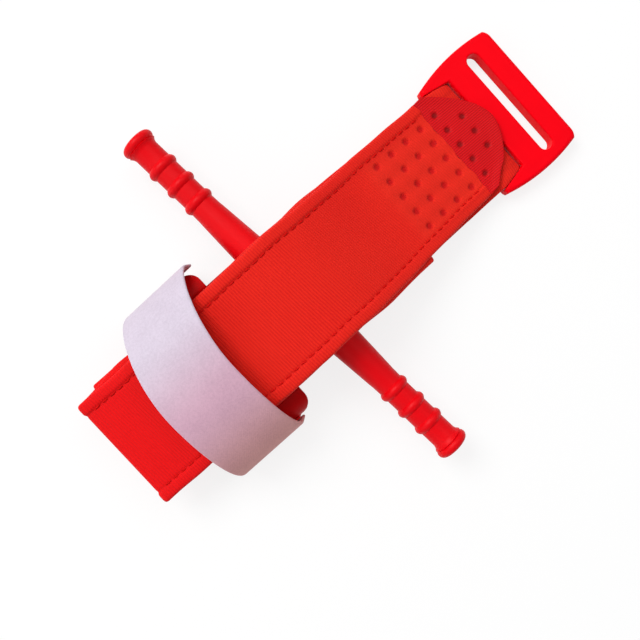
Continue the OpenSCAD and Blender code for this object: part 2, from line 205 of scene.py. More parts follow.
class TourniquetBand(bpy.types.PropertyGroup):
    """Sizes of the white strap, its sewn end and the hook pad."""
    width: length("Width", "Width of the white strap", 24 * MM)
    thickness: length("Thickness", "Thickness of the white strap", 1 * MM)
    middle: length("Middle", "Place of its middle behind the rod", -35.5 * MM)
    radius: length("Half span", "Half the span of its arch", 28.6 * MM)
    rise: length("Rise", "Height of its arch above the hooks' centres", 21.07 * MM)
    foot: length("Foot", "Height of its lower ends", 3 * MM)
    lean: angle("Lean", "Lean of the arch away from the rod", 10)
    shift: length("Sewn end", "How far the sewn end stands out in front", 5.5 * MM)
    hook_out: length("Hook side", "Distance from the middle line to the hooks' outer faces", 27 * MM)
    pad: length("Pad", "Thickness of the hook pad", 0.8 * MM)
    pad_length: length("Pad length", "Length of the hook pad along the hook", 17.8 * MM)
    pad_shift: length("Pad place", "How far the pad lies in front of the strap's middle", 2.9 * MM)


class TourniquetInner(bpy.types.PropertyGroup):
    """Sizes of the tension strap inside the sleeve."""
    width: length("Width", "Width of the tension strap", 25 * MM)
    thickness: length("Thickness", "Thickness of the tension strap", 1 * MM)
    height: length("Height", "Height of its middle inside the sleeve", 3.25 * MM)
    ramp: length("Ramp", "Where it starts to rise to the rod", 16 * MM)
    slot: length("Slot", "Where it enters the rod", 6.8 * MM)


class TourniquetColours(bpy.types.PropertyGroup):
    """Colours of the finishes."""
    moulded: colour("Moulding", "Buckle", 255, 0, 20)
    rod: colour("Rod", "Turned rod", 230, 0, 14)
    clip: colour("Clip", "Base plate and hooks", 190, 2, 6)
    cloth: colour("Cloth", "Sleeve cloth", 232, 36, 20)
    cloth_deep: colour("Cloth grooves", "Between the cloth's ribs", 212, 8, 8)
    # Painted light: the same cloth, painted a purer, deeper red where it lies near the rear folds under the
    # light.
    cloth_rear_lit: colour("Cloth at the rear", "Cloth near the rear folds", 238, 0, 12)
    cloth_weld: colour("Welded cloth", "Cloth round the welds", 230, 40, 23)
    tab: colour("Tab", "Pull tab", 227, 3, 17)
    # In the welds this tone also carries painted shade in the dimples.
    tab_deep: colour("Tab grooves", "Between the tab's ribs and in its welds", 186, 2, 10)
    webbing: colour("Webbing", "Tension strap", 205, 24, 24)
    thread: colour("Thread", "Sewing thread", 216, 10, 6)
    band: colour("White strap", "Napped white strap", 214, 203, 218)
    # Painted light: the reddish light that the white strap picks up from the red cloth under it.
    band_red_light: colour("White strap on red", "Where red shows through it", 215, 171, 191)
    # Painted shade, with painted red reflected light, on the strap's side beside the red clip.
    band_shade: colour("White strap in shade", "Beside the red clip", 224, 152, 138)
    floor: colour("Floor", "Plain floor", 245, 245, 245)


class TourniquetStage(bpy.types.PropertyGroup):
    """Camera and light."""
    camera: point("Camera", "Place of the camera", (-19.14 * MM, 1.71 * MM, 258.71 * MM))
    aim: point("Aim", "Point that the camera looks at", (1.6 * MM, -11.22 * MM, 0))
    heading: angle("Heading", "Turn of the strap in the picture", 42.4)
    focal: FloatProperty(name="Focal length", description="In widths of the picture", default=1.2935)
    shift: FloatVectorProperty(name="Shift", description="Shift of the picture, in its widths", size=2,
                               default=(-0.0044, 0.0008))


GROUPS = {
    "cloth": TourniquetCloth,
    "tip": TourniquetTip,
    "rod": TourniquetRod,
    "buckle": TourniquetBuckle,
    "clip": TourniquetClip,
    "band": TourniquetBand,
    "inner": TourniquetInner,
    "colours": TourniquetColours,
    "stage": TourniquetStage,
}


class TourniquetSettings(bpy.types.PropertyGroup):
    """Everything that a user would change."""
    __annotations__ = {name: PointerProperty(type=group) for name, group in GROUPS.items()}


def props():
    return bpy.context.scene.tourniquet


# Node materials

# Sockets of a Mix node that mixes colours.
MIX_FIRST = 6
MIX_SECOND = 7
MIX_RESULT = 2
WHITE = (1.0, 1.0, 1.0)
NAP_SHADE = (0.8, 0.78, 0.8)


class Wire:
    """An output socket of a node tree, with arithmetic that adds Math nodes."""

    def __init__(self, nodes, socket):
        self.nodes = nodes
        self.socket = socket

    def _math(self, operation, *values):
        return self.nodes.node("ShaderNodeMath", {"operation": operation}, dict(enumerate(values)))

    def __add__(self, other):
        return self._math("ADD", self, other)

    def __sub__(self, other):
        return self._math("SUBTRACT", self, other)

    def __rsub__(self, other):
        return self._math("SUBTRACT", other, self)

    def __mul__(self, other):
        return self._math("MULTIPLY", self, other)

    def __pow__(self, other):
        return self._math("POWER", self, other)

    def __rpow__(self, other):
        return self._math("POWER", other, self)

    def __abs__(self):
        return self._math("ABSOLUTE", self)

    __radd__ = __add__
    __rmul__ = __mul__

    def waves(self, pitch):
        """A sine wave from -1 to 1 that repeats after each pitch."""
        turn = self * (2 * math.pi / pitch)
        return turn._math("SINE", turn)

    def crests(self, pitch):
        """A sine wave from 0 to 1 that repeats after each pitch."""
        return self.waves(pitch) * 0.5 + 0.5

    def rise(self, low, high):
        """Goes smoothly from 0 at low to 1 at high."""
        settings = {"interpolation_type": "SMOOTHSTEP"}
        values = {"Value": self, "From Min": low, "From Max": high}
        return self.nodes.node("ShaderNodeMapRange", settings, values)


class Nodes:
    """A node tree, to which node() adds any node."""

    def __init__(self, tree):
        self.tree = tree

    def feed(self, socket, value):
        """Links a wire to a socket, or sets the socket's own value."""
        if isinstance(value, Wire):
            self.tree.links.new(value.socket, socket)
        else:
            socket.default_value = value

    def node(self, kind, settings=None, inputs=None, output=0):
        made = self.tree.nodes.new(kind)
        for key, value in (settings or {}).items():
            setattr(made, key, value)
        for key, value in (inputs or {}).items():
            self.feed(made.inputs[key], value)
        return Wire(self, made.outputs[output])

    def outputs(self, wire, *names):
        """Outputs of the node that a wire comes from."""
        return [Wire(self, wire.socket.node.outputs[name]) for name in names]

    def seen(self):
        """1 for rays from the camera, mirrors and glass."""
        path = self.node("ShaderNodeLightPath")
        camera, glossy, through = self.outputs(path, "Is Camera Ray", "Is Glossy Ray", "Is Transmission Ray")
        return (camera + glossy + through).rise(0.0, 1.0)

    def show(self, end, share, first, second):
        """Feeds the tree's end with a mixture of two shaders."""
        mixed = self.node("ShaderNodeMixShader", inputs={0: share, 1: first, 2: second})
        self.feed(self.tree.nodes[end].inputs["Surface"], mixed)


class Finish(Nodes):
    """A node material, whose surface wire() feeds."""

    def __init__(self, name):
        self.material = bpy.data.materials.new(name)
        self.material.use_nodes = True
        super().__init__(self.material.node_tree)
        self.surface = self.tree.nodes["Principled BSDF"]

    def wire(self, **inputs):
        for key, value in inputs.items():
            self.feed(self.surface.inputs[key.replace("_", " ")], value)

    def place(self):
        """Object coordinates."""
        return self.node("ShaderNodeTexCoord", output="Object")

    def split(self, vector):
        """The three parts of a vector."""
        return self.outputs(self.node("ShaderNodeSeparateXYZ", inputs={0: vector}), "X", "Y", "Z")

    def cloth_place(self):
        """The way along and across the cloth, in metres."""
        return self.split(self.node("ShaderNodeUVMap", {"uv_map": "cloth"}))[:2]

    def mark(self, name):
        """A value that the mesh carries at each of its points."""
        return self.node("ShaderNodeAttribute", {"attribute_name": name}, output="Fac")

    def noise(self, where, scale, detail=2.0, roughness=0.5):
        values = {"Vector": where, "Scale": scale, "Detail": detail, "Roughness": roughness}
        return self.node("ShaderNodeTexNoise", inputs=values)

    def blend(self, share, first, second, kind="MIX"):
        def rgba(value):
            return value if isinstance(value, Wire) else (*value, 1.0)
        settings = {"data_type": "RGBA", "blend_type": kind}
        values = {0: share, MIX_FIRST: rgba(first), MIX_SECOND: rgba(second)}
        return self.node("ShaderNodeMix", settings, values, output=MIX_RESULT)

    def bump(self, height, distance, strength):
        values = {"Height": height, "Distance": distance, "Strength": strength}
        return self.node("ShaderNodeBump", inputs=values)


def tint(tone, share):
    """A darker tone of a colour."""
    return tuple(share * channel for channel in tone)


def moulded_finish(name, tone, gloss=0.12):
    """Smooth satin plastic with faint mottling."""
    finish = Finish(name)
    place = finish.place()
    cloud = finish.noise(place, scale=60.0, detail=3.0)
    grain = finish.noise(place, scale=1400.0)
    finish.wire(
        Base_Color=finish.blend(cloud.rise(0.3, 0.75), tint(tone, 0.93), tone),
        Roughness=0.34 + 0.1 * cloud + 0.05 * grain,
        Normal=finish.bump(grain * 0.5 + cloud, distance=0.05 * MM, strength=0.25),
        Specular_IOR_Level=gloss,
    )
    return finish.material


def cloth_finish(name):
    """Ribbed nylon: slanted ribs crossed by fine warp threads, with welds, painted shade along the seams and
    painted light at the rear.
    """
    colours, cloth = props().colours, props().cloth
    finish = Finish(name)
    along, across = finish.cloth_place()
    place = finish.place()
    forward = finish.split(place)[0]
    slant = 0.06 + 0.1 * forward.rise(-15 * MM, 40 * MM)
    wobble = finish.noise(place, scale=90.0) * (0.35 * MM)
    crest = (along + across * slant + wobble).crests(cloth.rib) ** 0.7
    warp = across.waves(0.42 * cloth.rib)
    cloud = finish.noise(place, scale=45.0, detail=3.0)
    fibre = finish.noise(place, scale=2200.0)
    shade = (crest * 0.6 + cloud * 0.5 + warp * 0.08 + fibre * 0.2).rise(0.1, 1.0)
    # Painted shade along the stitch lines, where the cloth is drawn in.
    seam_shade = abs(abs(across) - (cloth.width / 2 - cloth.hem)).rise(0.9 * MM, 0.15 * MM)
    # Painted light: towards the rear folds the cloth turns a purer red, as the same cloth looks there under
    # the light.
    rear = forward.rise(-25 * MM, -60 * MM) * 0.8
    crests = finish.blend(rear, colours.cloth, colours.cloth_rear_lit)
    grooves = finish.blend(rear, colours.cloth_deep, tint(colours.cloth_rear_lit, 0.8))
    body = finish.blend(shade, grooves, crests)
    body = finish.blend(finish.mark("weld") * (0.35 + 0.5 * cloud), body, colours.cloth_weld)
    # Darker in the weld dimples: the pressed welds' own tone, with painted shade in the dips.
    body = finish.blend(finish.mark("dimple") * 0.85, body, colours.tab_deep)
    finish.wire(
        Base_Color=finish.blend(seam_shade * 0.2, body, tint(colours.cloth_deep, 0.6)),
        Roughness=0.62 + 0.2 * crest,
        Normal=finish.bump(crest + 0.22 * warp + 0.25 * fibre, distance=0.14 * MM, strength=0.5),
        Sheen_Weight=0.04,
        Sheen_Roughness=0.5,
        Specular_IOR_Level=0.15,
    )
    return finish.material


def tab_finish(name):
    """Coated tab cloth whose fine ribs run along the strap."""
    colours, cloth = props().colours, props().cloth
    finish = Finish(name)
    along, across = finish.cloth_place()
    place = finish.place()
    wobble = finish.noise(place, scale=120.0) * (0.2 * MM)
    crest = (across + along * 0.04 + wobble).crests(0.85 * cloth.rib)
    cloud = finish.noise(place, scale=70.0, detail=3.0)
    body = finish.blend((crest * 0.55 + cloud * 0.5).rise(0.1, 1.0), colours.tab_deep, colours.tab)
    finish.wire(
        # Darker in the weld dimples: the pressed welds' own tone, with painted shade in the dips.
        Base_Color=finish.blend(finish.mark("dimple") * 0.92, body, tint(colours.tab_deep, 0.45)),
        Roughness=0.5 + 0.15 * crest,
        Normal=finish.bump(crest, distance=0.12 * MM, strength=0.5),
        Specular_IOR_Level=0.15,
    )
    return finish.material


def webbing_finish(name):
    """Woven webbing with a fine twill."""
    tone = props().colours.webbing
    finish = Finish(name)
    along, across = finish.cloth_place()
    twill = (along + abs(across) * 0.8).crests(1.3 * MM)
    height = twill * 0.7 + across.crests(0.8 * MM) * 0.5
    finish.wire(
        Base_Color=finish.blend(height.rise(0.0, 1.1), tint(tone, 0.6), tone),
        Roughness=0.6 + 0.2 * twill,
        Normal=finish.bump(height, distance=0.15 * MM, strength=0.5),
    )
    return finish.material


def band_finish(name):
    """Napped loop tape: fuzzy, with fine speckle and a woven ground, and painted red light and painted shade
    across it.
    """
    colours = props().colours
    finish = Finish(name)
    place = finish.place()
    along, across = finish.cloth_place()
    fuzz = finish.noise(place, scale=1500.0, detail=4.0, roughness=0.7)
    tuft = finish.node("ShaderNodeTexVoronoi", inputs={"Vector": place, "Scale": 1300.0})
    cloud = finish.noise(place, scale=80.0, detail=3.0)
    ground = across.waves(0.7 * MM) * along.waves(0.9 * MM)
    side = finish.split(place)[1]
    # Painted red light: the middle of the strap is tinted as if lit by the red cloth under it.
    tone = finish.blend(side.rise(18 * MM, -8 * MM), colours.band, colours.band_red_light)
    # Painted shade: towards -Y the strap is darkened and reddened, as shade and red reflected light fall on
    # that side.
    tone = finish.blend(side.rise(-6 * MM, -32 * MM) * 0.8, tone, colours.band_shade)
    nap = finish.blend((fuzz * 0.7 + cloud * 0.4).rise(0.25, 0.8), NAP_SHADE, WHITE)
    finish.wire(
        Base_Color=finish.blend(1.0, tone, nap, "MULTIPLY"),
        Roughness=0.85,
        Normal=finish.bump(fuzz * 0.8 + tuft * 0.5 + ground * 0.12, distance=0.12 * MM, strength=0.6),
        Sheen_Weight=0.15,
        Sheen_Roughness=0.6,
        Specular_IOR_Level=0.2,
    )
    return finish.material


def thread_finish(name):
    """Twisted sewing thread."""
    tone = props().colours.thread
    finish = Finish(name)
    inputs = {"Vector": finish.place(), "Scale": 900.0}
    twist = finish.node("ShaderNodeTexWave", {"bands_direction": "DIAGONAL"}, inputs)
    finish.wire(
        Base_Color=finish.blend(twist, tint(tone, 0.75), tone),
        Roughness=0.55 + 0.1 * twist,
        Normal=finish.bump(twist, distance=0.05 * MM, strength=0.5),
        Specular_IOR_Level=0.1,
    )
    return finish.material


# Lines and curves

def smooth(low, high, value):
    """Goes smoothly from 0 at low to 1 at high."""
    share = min(1.0, max(0.0, (value - low) / (high - low)))
    return share * share * (3 - 2 * share)


def rounded_edge(share):
    """Height of a round edge, from 0 at its rim to 1 where it meets the flat."""
    short = 1 - min(1.0, share)
    return math.sqrt(max(0.0, 1 - short * short))


def ripple(where, waves):
    """Small waves along a line, each with its height, its stretch and its start."""
    return sum(height * math.sin(where / stretch + start) for height, stretch, start in waves)


def spaced(start, end, steps):
    """Evenly spaced values from start to end."""
    return [start + (end - start) * k / steps for k in range(steps + 1)]


def arc(centre_x, centre_y, radius, start, end, steps):
    """Points on an arc, angles in degrees."""
    turns = [math.radians(turn) for turn in spaced(start, end, steps)]
    return [(centre_x + radius * math.cos(turn), centre_y + radius * math.sin(turn)) for turn in turns]


def crossing(first, second, low, high, halvings=50):
    """Where two curves cross between low and high, first being the higher one at low."""
    for _ in range(halvings):
        middle = (low + high) / 2
        if first(middle) > second(middle):
            low = middle
        else:
            high = middle
    return low


# Shapes and pieces

def finished(name, shape, material, sharp=None):
    """Turns a bmesh into a smooth-shaded piece, with sharp edges from an angle in degrees on."""
    bmesh.ops.recalc_face_normals(shape, faces=shape.faces[:])
    mesh = bpy.data.meshes.new(name)
    shape.to_mesh(mesh)
    shape.free()
    mesh.materials.append(material)
    mesh.shade_smooth()
    if sharp is not None:
        mesh.set_sharp_from_angle(angle=math.radians(sharp))
    piece = bpy.data.objects.new(name, mesh)
    bpy.context.scene.collection.objects.link(piece)
    return piece


def stand_for(piece, slot, *nodes):
    """Hides the frame's nodes that a piece stands for; the finish slot is not used."""
    if nodes:
        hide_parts(*nodes)


def dress(piece, body, slot, *nodes):
    """Sets a piece on a body and hides the frame's nodes that it stands for; the finish slot is not used."""
    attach(piece, body)
    stand_for(piece, slot, *nodes)
    return piece


def block(*sides):
    """A box around the origin."""
    shape = bmesh.new()
    bmesh.ops.create_cube(shape, size=1)
    bmesh.ops.scale(shape, vec=sides, verts=shape.verts[:])
    return shape


def bevel(shape, edges, offset, segments, clamp=False):
    bmesh.ops.bevel(shape, geom=edges, offset=offset, segments=segments, profile=0.5, affect="EDGES",
                    clamp_overlap=clamp, material=-1)


def apply_modifiers(piece):
    """Keeps a piece's modified mesh and drops its modifiers."""
    bpy.context.view_layer.update()
    seen = piece.evaluated_get(bpy.context.evaluated_depsgraph_get())
    mesh = bpy.data.meshes.new_from_object(seen)
    piece.modifiers.clear()
    piece.data = mesh


def cut(piece, cutter_shape, operation):
    """Cuts a piece with another shape."""
    cutter = finished("cutter", cutter_shape, piece.data.materials[0])
    modifier = piece.modifiers.new("cut", "BOOLEAN")
    modifier.object = cutter
    modifier.operation = operation
    apply_modifiers(piece)
    bpy.data.objects.remove(cutter)


class Path:
    """A line in the plane along the strap, with its length and its upward side at each point."""

    def __init__(self, points, begin=0.0):
        self.points = [Vector(point) for point in points]
        self.along = [begin]
        for first, second in zip(self.points, self.points[1:]):
            self.along.append(self.along[-1] + (second - first).length)
        self.length = self.along[-1] - begin

    def side(self, k):
        step = self.points[min(k + 1, len(self.points) - 1)] - self.points[max(k - 1, 0)]
        step.normalize()
        return Vector((-step.y, step.x))


def ring(above, below, spots):
    """A closed section: over the top from one edge to the other, and back below."""
    over = [(across, above(across)) for across in spots]
    under = [(across, -below(across)) for across in reversed(spots[1:-1])]
    return over + under


def sweep(path, section):
    """Draws a closed skin along a path. section(k) gives the points (across, up) of station k."""
    shape = bmesh.new()
    layer = shape.loops.layers.uv.new("cloth")
    sections = [section(k) for k in range(len(path.points))]
    rows = len(sections) - 1
    columns = len(sections[0])
    bmesh.ops.create_grid(shape, x_segments=rows, y_segments=columns, size=1)
    places = {}
    for vert in shape.verts:
        k = round((vert.co.x + 1) / 2 * rows)
        j = round((vert.co.y + 1) / 2 * columns)
        across, up = sections[k][j % columns]
        spot = path.points[k] + path.side(k) * up
        places[vert] = (path.along[k], across)
        vert.co = (spot.x, across, spot.y)
    for face in shape.faces:
        for loop in face.loops:
            loop[layer].uv = places[loop.vert]
    bmesh.ops.remove_doubles(shape, verts=shape.verts[:], dist=1e-7)
    bmesh.ops.holes_fill(shape, edges=[edge for edge in shape.edges if edge.is_boundary], sides=0)
    return shape


def tape(points, sizes, edge, edge_spots, columns, shift=lambda k: 0.0):
    """A flat tape with rounded edges along a line, and its length. sizes gives its width and thickness."""
    half = sizes.width / 2
    path = Path(points)
    left = [-half + spot for spot in edge_spots]
    spots = left + spaced(-half + MM, half - MM, columns) + [-spot for spot in reversed(left)]

    def height(across):
        return sizes.thickness / 2 * rounded_edge((half - abs(across)) / edge)

    section = ring(height, height, spots)
    shape = sweep(path, lambda k: [(across + shift(k), up) for across, up in section])
    return shape, path.length


# Lie of the sleeve

# Where the top run begins below the white strap, and where its stations stand closer for the welds.
CUT_X = -37 * MM
WELD_X = 38 * MM
RUN_STEP = 2 * MM
FOLD_STEPS = 10
# Length of the flat run before the first fold.
FOLD_LEAD = 9 * MM
# Part of a cosine wave that the layers follow from the rod down to their folds.
BELL_TURN = math.radians(150)
SHARP_CLOTH = 60

# Heights of the hem above and below the cloth, which every folded layer has.
HEM_ABOVE = 0.12 * MM
HEM_BELOW = 0.1 * MM
# Shares of the hem's width: its round edge, where it flattens out, the width of the stitch line, and where
# the mesh has its lines.
HEM_ROUND = 0.3
HEM_FALL = (0.7, 1.3)
HEM_SEAM = 0.13
HEM_SPOTS = (0, 0.03, 0.09, 0.18, 0.32, 0.5, 0.68, 0.8, 0.88, 0.94, 1, 1.06, 1.12, 1.2, 1.34)

# Waves of the edges, each with its height, its stretch and its start.
EDGE_WAVES = ((0.14 * MM, 6.1 * MM, 1), (0.09 * MM, 2.7 * MM, 0))
LAYER_WAVES = ((0.22 * MM, 11 * MM, 0), (0.15 * MM, 4.7 * MM, 0))
FRAY_WAVES = ((0.22 * MM, 2.1 * MM, 0), (0.14 * MM, 0.83 * MM, 1))

# How far the top run lies to one side, how far its right hem is tucked in, and where each sets in.
LIE = 0.6 * MM
LIE_ALONG = (10 * MM, 60 * MM)
TUCK = 1.1 * MM
TUCK_ALONG = (35 * MM, 74 * MM)
TUCK_ACROSS = (-12 * MM, -16 * MM)

# The slow unevenness of the top run: its height, its stretch along the sleeve, how far it bends and over
# which stretch, its stretch and start across, and the length in which it sets in.
SLOW_WAVE = 0.12 * MM
SLOW_ALONG = 7.3 * MM
SLOW_BEND = (0.9, 6 * MM)
SLOW_ACROSS = (9.1 * MM, 0.4)
SLOW_START = 9 * MM
# Height of the quilting between the welds.
QUILT = 0.09 * MM

TIP_WELDS = 3
ROW_WELDS = 5
# Where the welded part sets in before its last row and ends at its sides, and where a dimple's wall stands.
WELD_START = (-3 * MM, MM)
WELD_SIDE = (13 * MM, 15.5 * MM)
WELD_WALL = (0.6, 1.2)


def spread(steps):
    """Places across a sleeve, close together at its edges and stitch lines."""
    cloth = props().cloth
    half = cloth.width / 2
    outer = [share * cloth.hem for share in HEM_SPOTS]
    reach = half - outer[-1]
    left = [-half + distance for distance in outer]
    right = [half - distance for distance in reversed(outer)]
    return left + spaced(-reach, reach, steps)[1:-1] + right


def sleeve_height(across, half_thick, puff, groove):
    """Height of a sleeve's face above its middle, with a rounded hem and a drawn-in stitch line."""
    cloth = props().cloth
    inward = max(0.0, cloth.width / 2 - abs(across)) / cloth.hem
    full = half_thick + puff * (1 - smooth(*HEM_FALL, inward))
    drawn = groove * math.exp(-((inward - 1) / HEM_SEAM) ** 2)
    return (full - drawn) * rounded_edge(inward / HEM_ROUND)


def upper_face(across, puff):
    """Height of a folded layer's upper face above its middle."""
    cloth = props().cloth
    return sleeve_height(across, cloth.thickness / 2, HEM_ABOVE + puff, cloth.groove)


def lower_face(across):
    """Depth of a folded layer's lower face below its middle."""
    cloth = props().cloth
    return sleeve_height(across, cloth.thickness / 2, HEM_BELOW, 0.5 * cloth.groove)


def bell(share):
    """Falls from 1 at 0 to 0 at 1, along part of a cosine."""
    low = math.cos(BELL_TURN)
    return (math.cos(BELL_TURN * share) - low) / (1 - low)


def layer_height(layer, x):
    """Height of the middle of a folded layer."""
    cloth = props().cloth
    reach = cloth.fold_rear if x < 0 else cloth.fold_front
    saddle = cloth.foot + (cloth.crest - cloth.foot) * bell(min(1.0, abs(x) / reach))
    return saddle + cloth.thickness / 2 + (layer - 1) * cloth.pitch


def top_height(x):
    """Height of the middle of the top run, from its rear fold to the tip."""
    cloth = props().cloth
    if x <= cloth.fold_front:
        return layer_height(cloth.layers, x)
    if x >= cloth.land:
        return cloth.rest_height
    start = layer_height(cloth.layers, cloth.fold_front)
    slope = (start - layer_height(cloth.layers, cloth.fold_front - MM)) / MM
    reach = cloth.land - cloth.fold_front
    share = (x - cloth.fold_front) / reach
    landed = 3 * share ** 2 - 2 * share ** 3
    glide = share ** 3 - 2 * share ** 2 + share
    return start * (1 - landed) + slope * reach * glide + cloth.rest_height * landed


def fold(x, low, high, side):
    """Points of a half-round fold, without its two ends."""
    radius = (high - low) / 2
    turns = spaced(0, math.pi, FOLD_STEPS)[1:-1]
    return [(x + side * radius * math.sin(turn), low + radius - radius * math.cos(turn)) for turn in turns]


def run(height, start, end, step=RUN_STEP):
    """Points from start to end, each at the height that its place has."""
    steps = max(2, round(abs(end - start) / step))
    return [(x, height(x)) for x in spaced(start, end, steps)]


def level_run(height, start, end, step=RUN_STEP):
    """Points from start to end, all at one height."""
    return run(lambda x: height, start, end, step)


def folded_points():
    """The middle line of the folded tail, from the base sleeve to the cut below the white strap."""
    cloth = props().cloth
    rear = [-cloth.fold_rear] * (cloth.layers - 2) + [-cloth.top_fold] * 2
    height = props().inner.height
    points = [(rear[0] + FOLD_LEAD, height), (rear[0], height)]
    points += fold(rear[0], height, layer_height(1, rear[0]), -1)
    for layer in range(1, cloth.layers):
        if layer % 2:
            start, end, turn, side = rear[layer - 1], cloth.fold_front, cloth.fold_front, 1
        else:
            start, end, turn, side = cloth.fold_front, rear[layer - 1], rear[layer], -1
        points += run(partial(layer_height, layer), start, end)
        points += fold(turn, layer_height(layer, turn), layer_height(layer + 1, turn), side)
    return points + run(top_height, -cloth.top_fold, CUT_X)


def weld_places():
    """Centres of the welds, row by row from the tip."""
    tip = props().tip
    for row in range(tip.weld_rows):
        welds = TIP_WELDS if row == 0 else ROW_WELDS
        for column in range(welds):
            yield (tip.weld_first - row * tip.weld_along, (column - (welds - 1) / 2) * tip.weld_across)


def weld_dip(x, across):
    """Depth of the weld dimples at a point, from 0 to 1."""
    radius = props().tip.weld_radius
    nearest = min(math.hypot(x - weld_x, across - weld_y) for weld_x, weld_y in weld_places())
    return 1 - smooth(*WELD_WALL, nearest / radius)


def weld_zone(x, across):
    """1 in the welded part of the top run, 0 outside it."""
    tip = props().tip
    last_row = tip.weld_first - (tip.weld_rows - 0.5) * tip.weld_along
    start = [last_row + shift for shift in WELD_START]
    return smooth(*start, x) * (1 - smooth(*WELD_SIDE, abs(across)))


def cloth_wave(x, across):
    """Slow unevenness of the sleeve, and the quilting between its welds."""
    tip = props().tip
    bend, bend_stretch = SLOW_BEND
    across_stretch, across_start = SLOW_ACROSS
    slow = math.sin(x / SLOW_ALONG + bend * math.sin(across / bend_stretch))
    slow *= math.cos(across / across_stretch + across_start)
    along = math.cos(2 * math.pi * (x - tip.weld_first) / tip.weld_along)
    quilt = along + math.cos(2 * math.pi * across / tip.weld_across)
    return SLOW_WAVE * slow * smooth(CUT_X, CUT_X + SLOW_START, x) - QUILT * quilt * weld_zone(x, across)


def edge_shift(x):
    """How far the top run lies to one side, with the unevenness of its edges."""
    return LIE * smooth(*LIE_ALONG, x) + ripple(x, EDGE_WAVES)


def lie_across(x, across):
    """Where a point across the top run lies: its right hem runs in towards the tip."""
    return across + edge_shift(x) + TUCK * smooth(*TUCK_ALONG, x) * smooth(*TUCK_ACROSS, across)


# Stitching

STITCH_HALF = 0.36
STITCH_SLANT = math.radians(3)


def stitch(shape, place):
    """One stitch that lies along the X axis of its place."""
    cloth = props().cloth
    size = Matrix.Diagonal((STITCH_HALF * cloth.stitch, cloth.thread / 2, cloth.thread / 2, 1))
    bmesh.ops.create_uvsphere(shape, u_segments=8, v_segments=6, radius=1,
                              matrix=place @ size @ Matrix.Rotation(math.pi / 2, 4, "Y"))


def sew(name, start, end):
    """A row of stitches along each hem of the top layer."""
    cloth = props().cloth
    shape = bmesh.new()
    line = cloth.width / 2 - cloth.hem
    lift = (cloth.thickness + cloth.puff) / 2 - 0.5 * cloth.groove
    for k in range(int((end - start) / cloth.stitch)):
        x = start + (k + 0.5) * cloth.stitch
        slope = math.atan2(top_height(x + MM / 2) - top_height(x - MM / 2), MM)
        for side in (-1, 1):
            y = lie_across(x, side * line)
            spot = (x - math.sin(slope) * lift, y, top_height(x) + math.cos(slope) * lift)
            lay = Matrix.Translation(spot) @ Matrix.Rotation(-slope, 4, "Y")
            stitch(shape, lay @ Matrix.Rotation(STITCH_SLANT * side, 4, "Z"))
    return finished(name, shape, thread_finish(name + "_thread"))


def pocket_slant(buckle):
    """How fast the buckle's pocket narrows towards the middle bar."""
    return (buckle.wing_half - buckle.pocket_half) / (buckle.pocket_x - buckle.rear)


# Operators

class TOURNIQUET_OT_rod(bpy.types.Operator):
    """Turns the rod, with its ribbed grips, flanges and slot"""
    bl_idname = "tourniquet.rod"
    bl_label = "Rod"
    STEPS = 64
    SHARP = 50
    SLOT_ROUND = 0.45
    # How far the thick middle ends before the slot, and the grip and its step before the ribs.
    BARREL_SHORT = 2 * MM
    GRIP_GAP = 4.5 * MM
    NECK_GAP = 3.3 * MM
    NECK_STEP = 0.1 * MM
    RIB_STEPS = 16
    RIB_FULLNESS = 0.8
    # The hollow before the flange: height above the neck and distance from the flange.
    HOLLOW = ((0, 1.6 * MM), (0.3 * MM, 0.7 * MM))
    FLANGE_RIM = 0.4 * MM
    FLANGE_ARC = (-60, 80, 10)

    def execute(self, context):
        rod = props().rod
        shape = bmesh.new()
        verts = [shape.verts.new((radius, y, 0)) for radius, y in self.profile(rod)]
        edges = [shape.edges.new(pair) for pair in zip(verts, verts[1:])]
        bmesh.ops.spin(shape, geom=verts + edges, cent=(0, 0, 0), axis=(0, 1, 0), angle=2 * math.pi,
                       steps=self.STEPS, use_merge=True)
        bmesh.ops.remove_doubles(shape, verts=shape.verts[:], dist=1e-6)
        piece = finished("rod", shape, moulded_finish("rod_moulding", props().colours.rod))
        self.cut_slot(piece, rod)
        piece.data.transform(Matrix.Translation((0, 0, rod.height)) @ Matrix.Rotation(rod.skew, 4, "Z"))
        piece.data.set_sharp_from_angle(angle=math.radians(self.SHARP))
        dress(piece, "windlass", "moulded_red", "windlass_rod")
        return {"FINISHED"}

    def profile(self, rod):
        """Radius and place along the rod, from one end to the other."""
        half = rod.length / 2
        neck = rod.neck / 2
        ribs_y = half - rod.rib_start - (rod.ribs - 1) * rod.rib_pitch - rod.rib_width / 2
        side = [(rod.middle / 2, 0), (rod.middle / 2, rod.slot_length / 2 - self.BARREL_SHORT)]
        side += [(rod.edge / 2, rod.edge_y), (rod.grip / 2, ribs_y - self.GRIP_GAP)]
        side.append((neck + self.NECK_STEP, ribs_y - self.NECK_GAP))
        for k in reversed(range(rod.ribs)):
            centre = half - rod.rib_start - k * rod.rib_pitch
            for share in spaced(-1, 1, self.RIB_STEPS):
                rise = (rod.rib / 2 - neck) * math.cos(share * math.pi / 2) ** self.RIB_FULLNESS
                side.append((neck + rise, centre + share * rod.rib_width / 2))
        flange_y = half - rod.flange_width
        side += [(neck + rise, flange_y - gap) for rise, gap in self.HOLLOW]
        side.append((rod.flange / 2 - self.FLANGE_RIM, flange_y))
        radius = rod.flange_width / 2
        side += arc(rod.flange / 2 - radius, half - radius, radius, *self.FLANGE_ARC)
        side.append((0, half))
        return [(r, -y) for r, y in reversed(side[1:])] + side

    def cut_slot(self, piece, rod):
        """Cuts the slot for the tension strap, with rounded ends."""
        cutter = block(2 * rod.middle, rod.slot_length, rod.slot_height)
        ends = [edge for edge in cutter.edges if abs(edge.verts[0].co.x - edge.verts[1].co.x) > rod.middle]
        bevel(cutter, ends, self.SLOT_ROUND * rod.slot_height, 4)
        cut(piece, cutter, "DIFFERENCE")


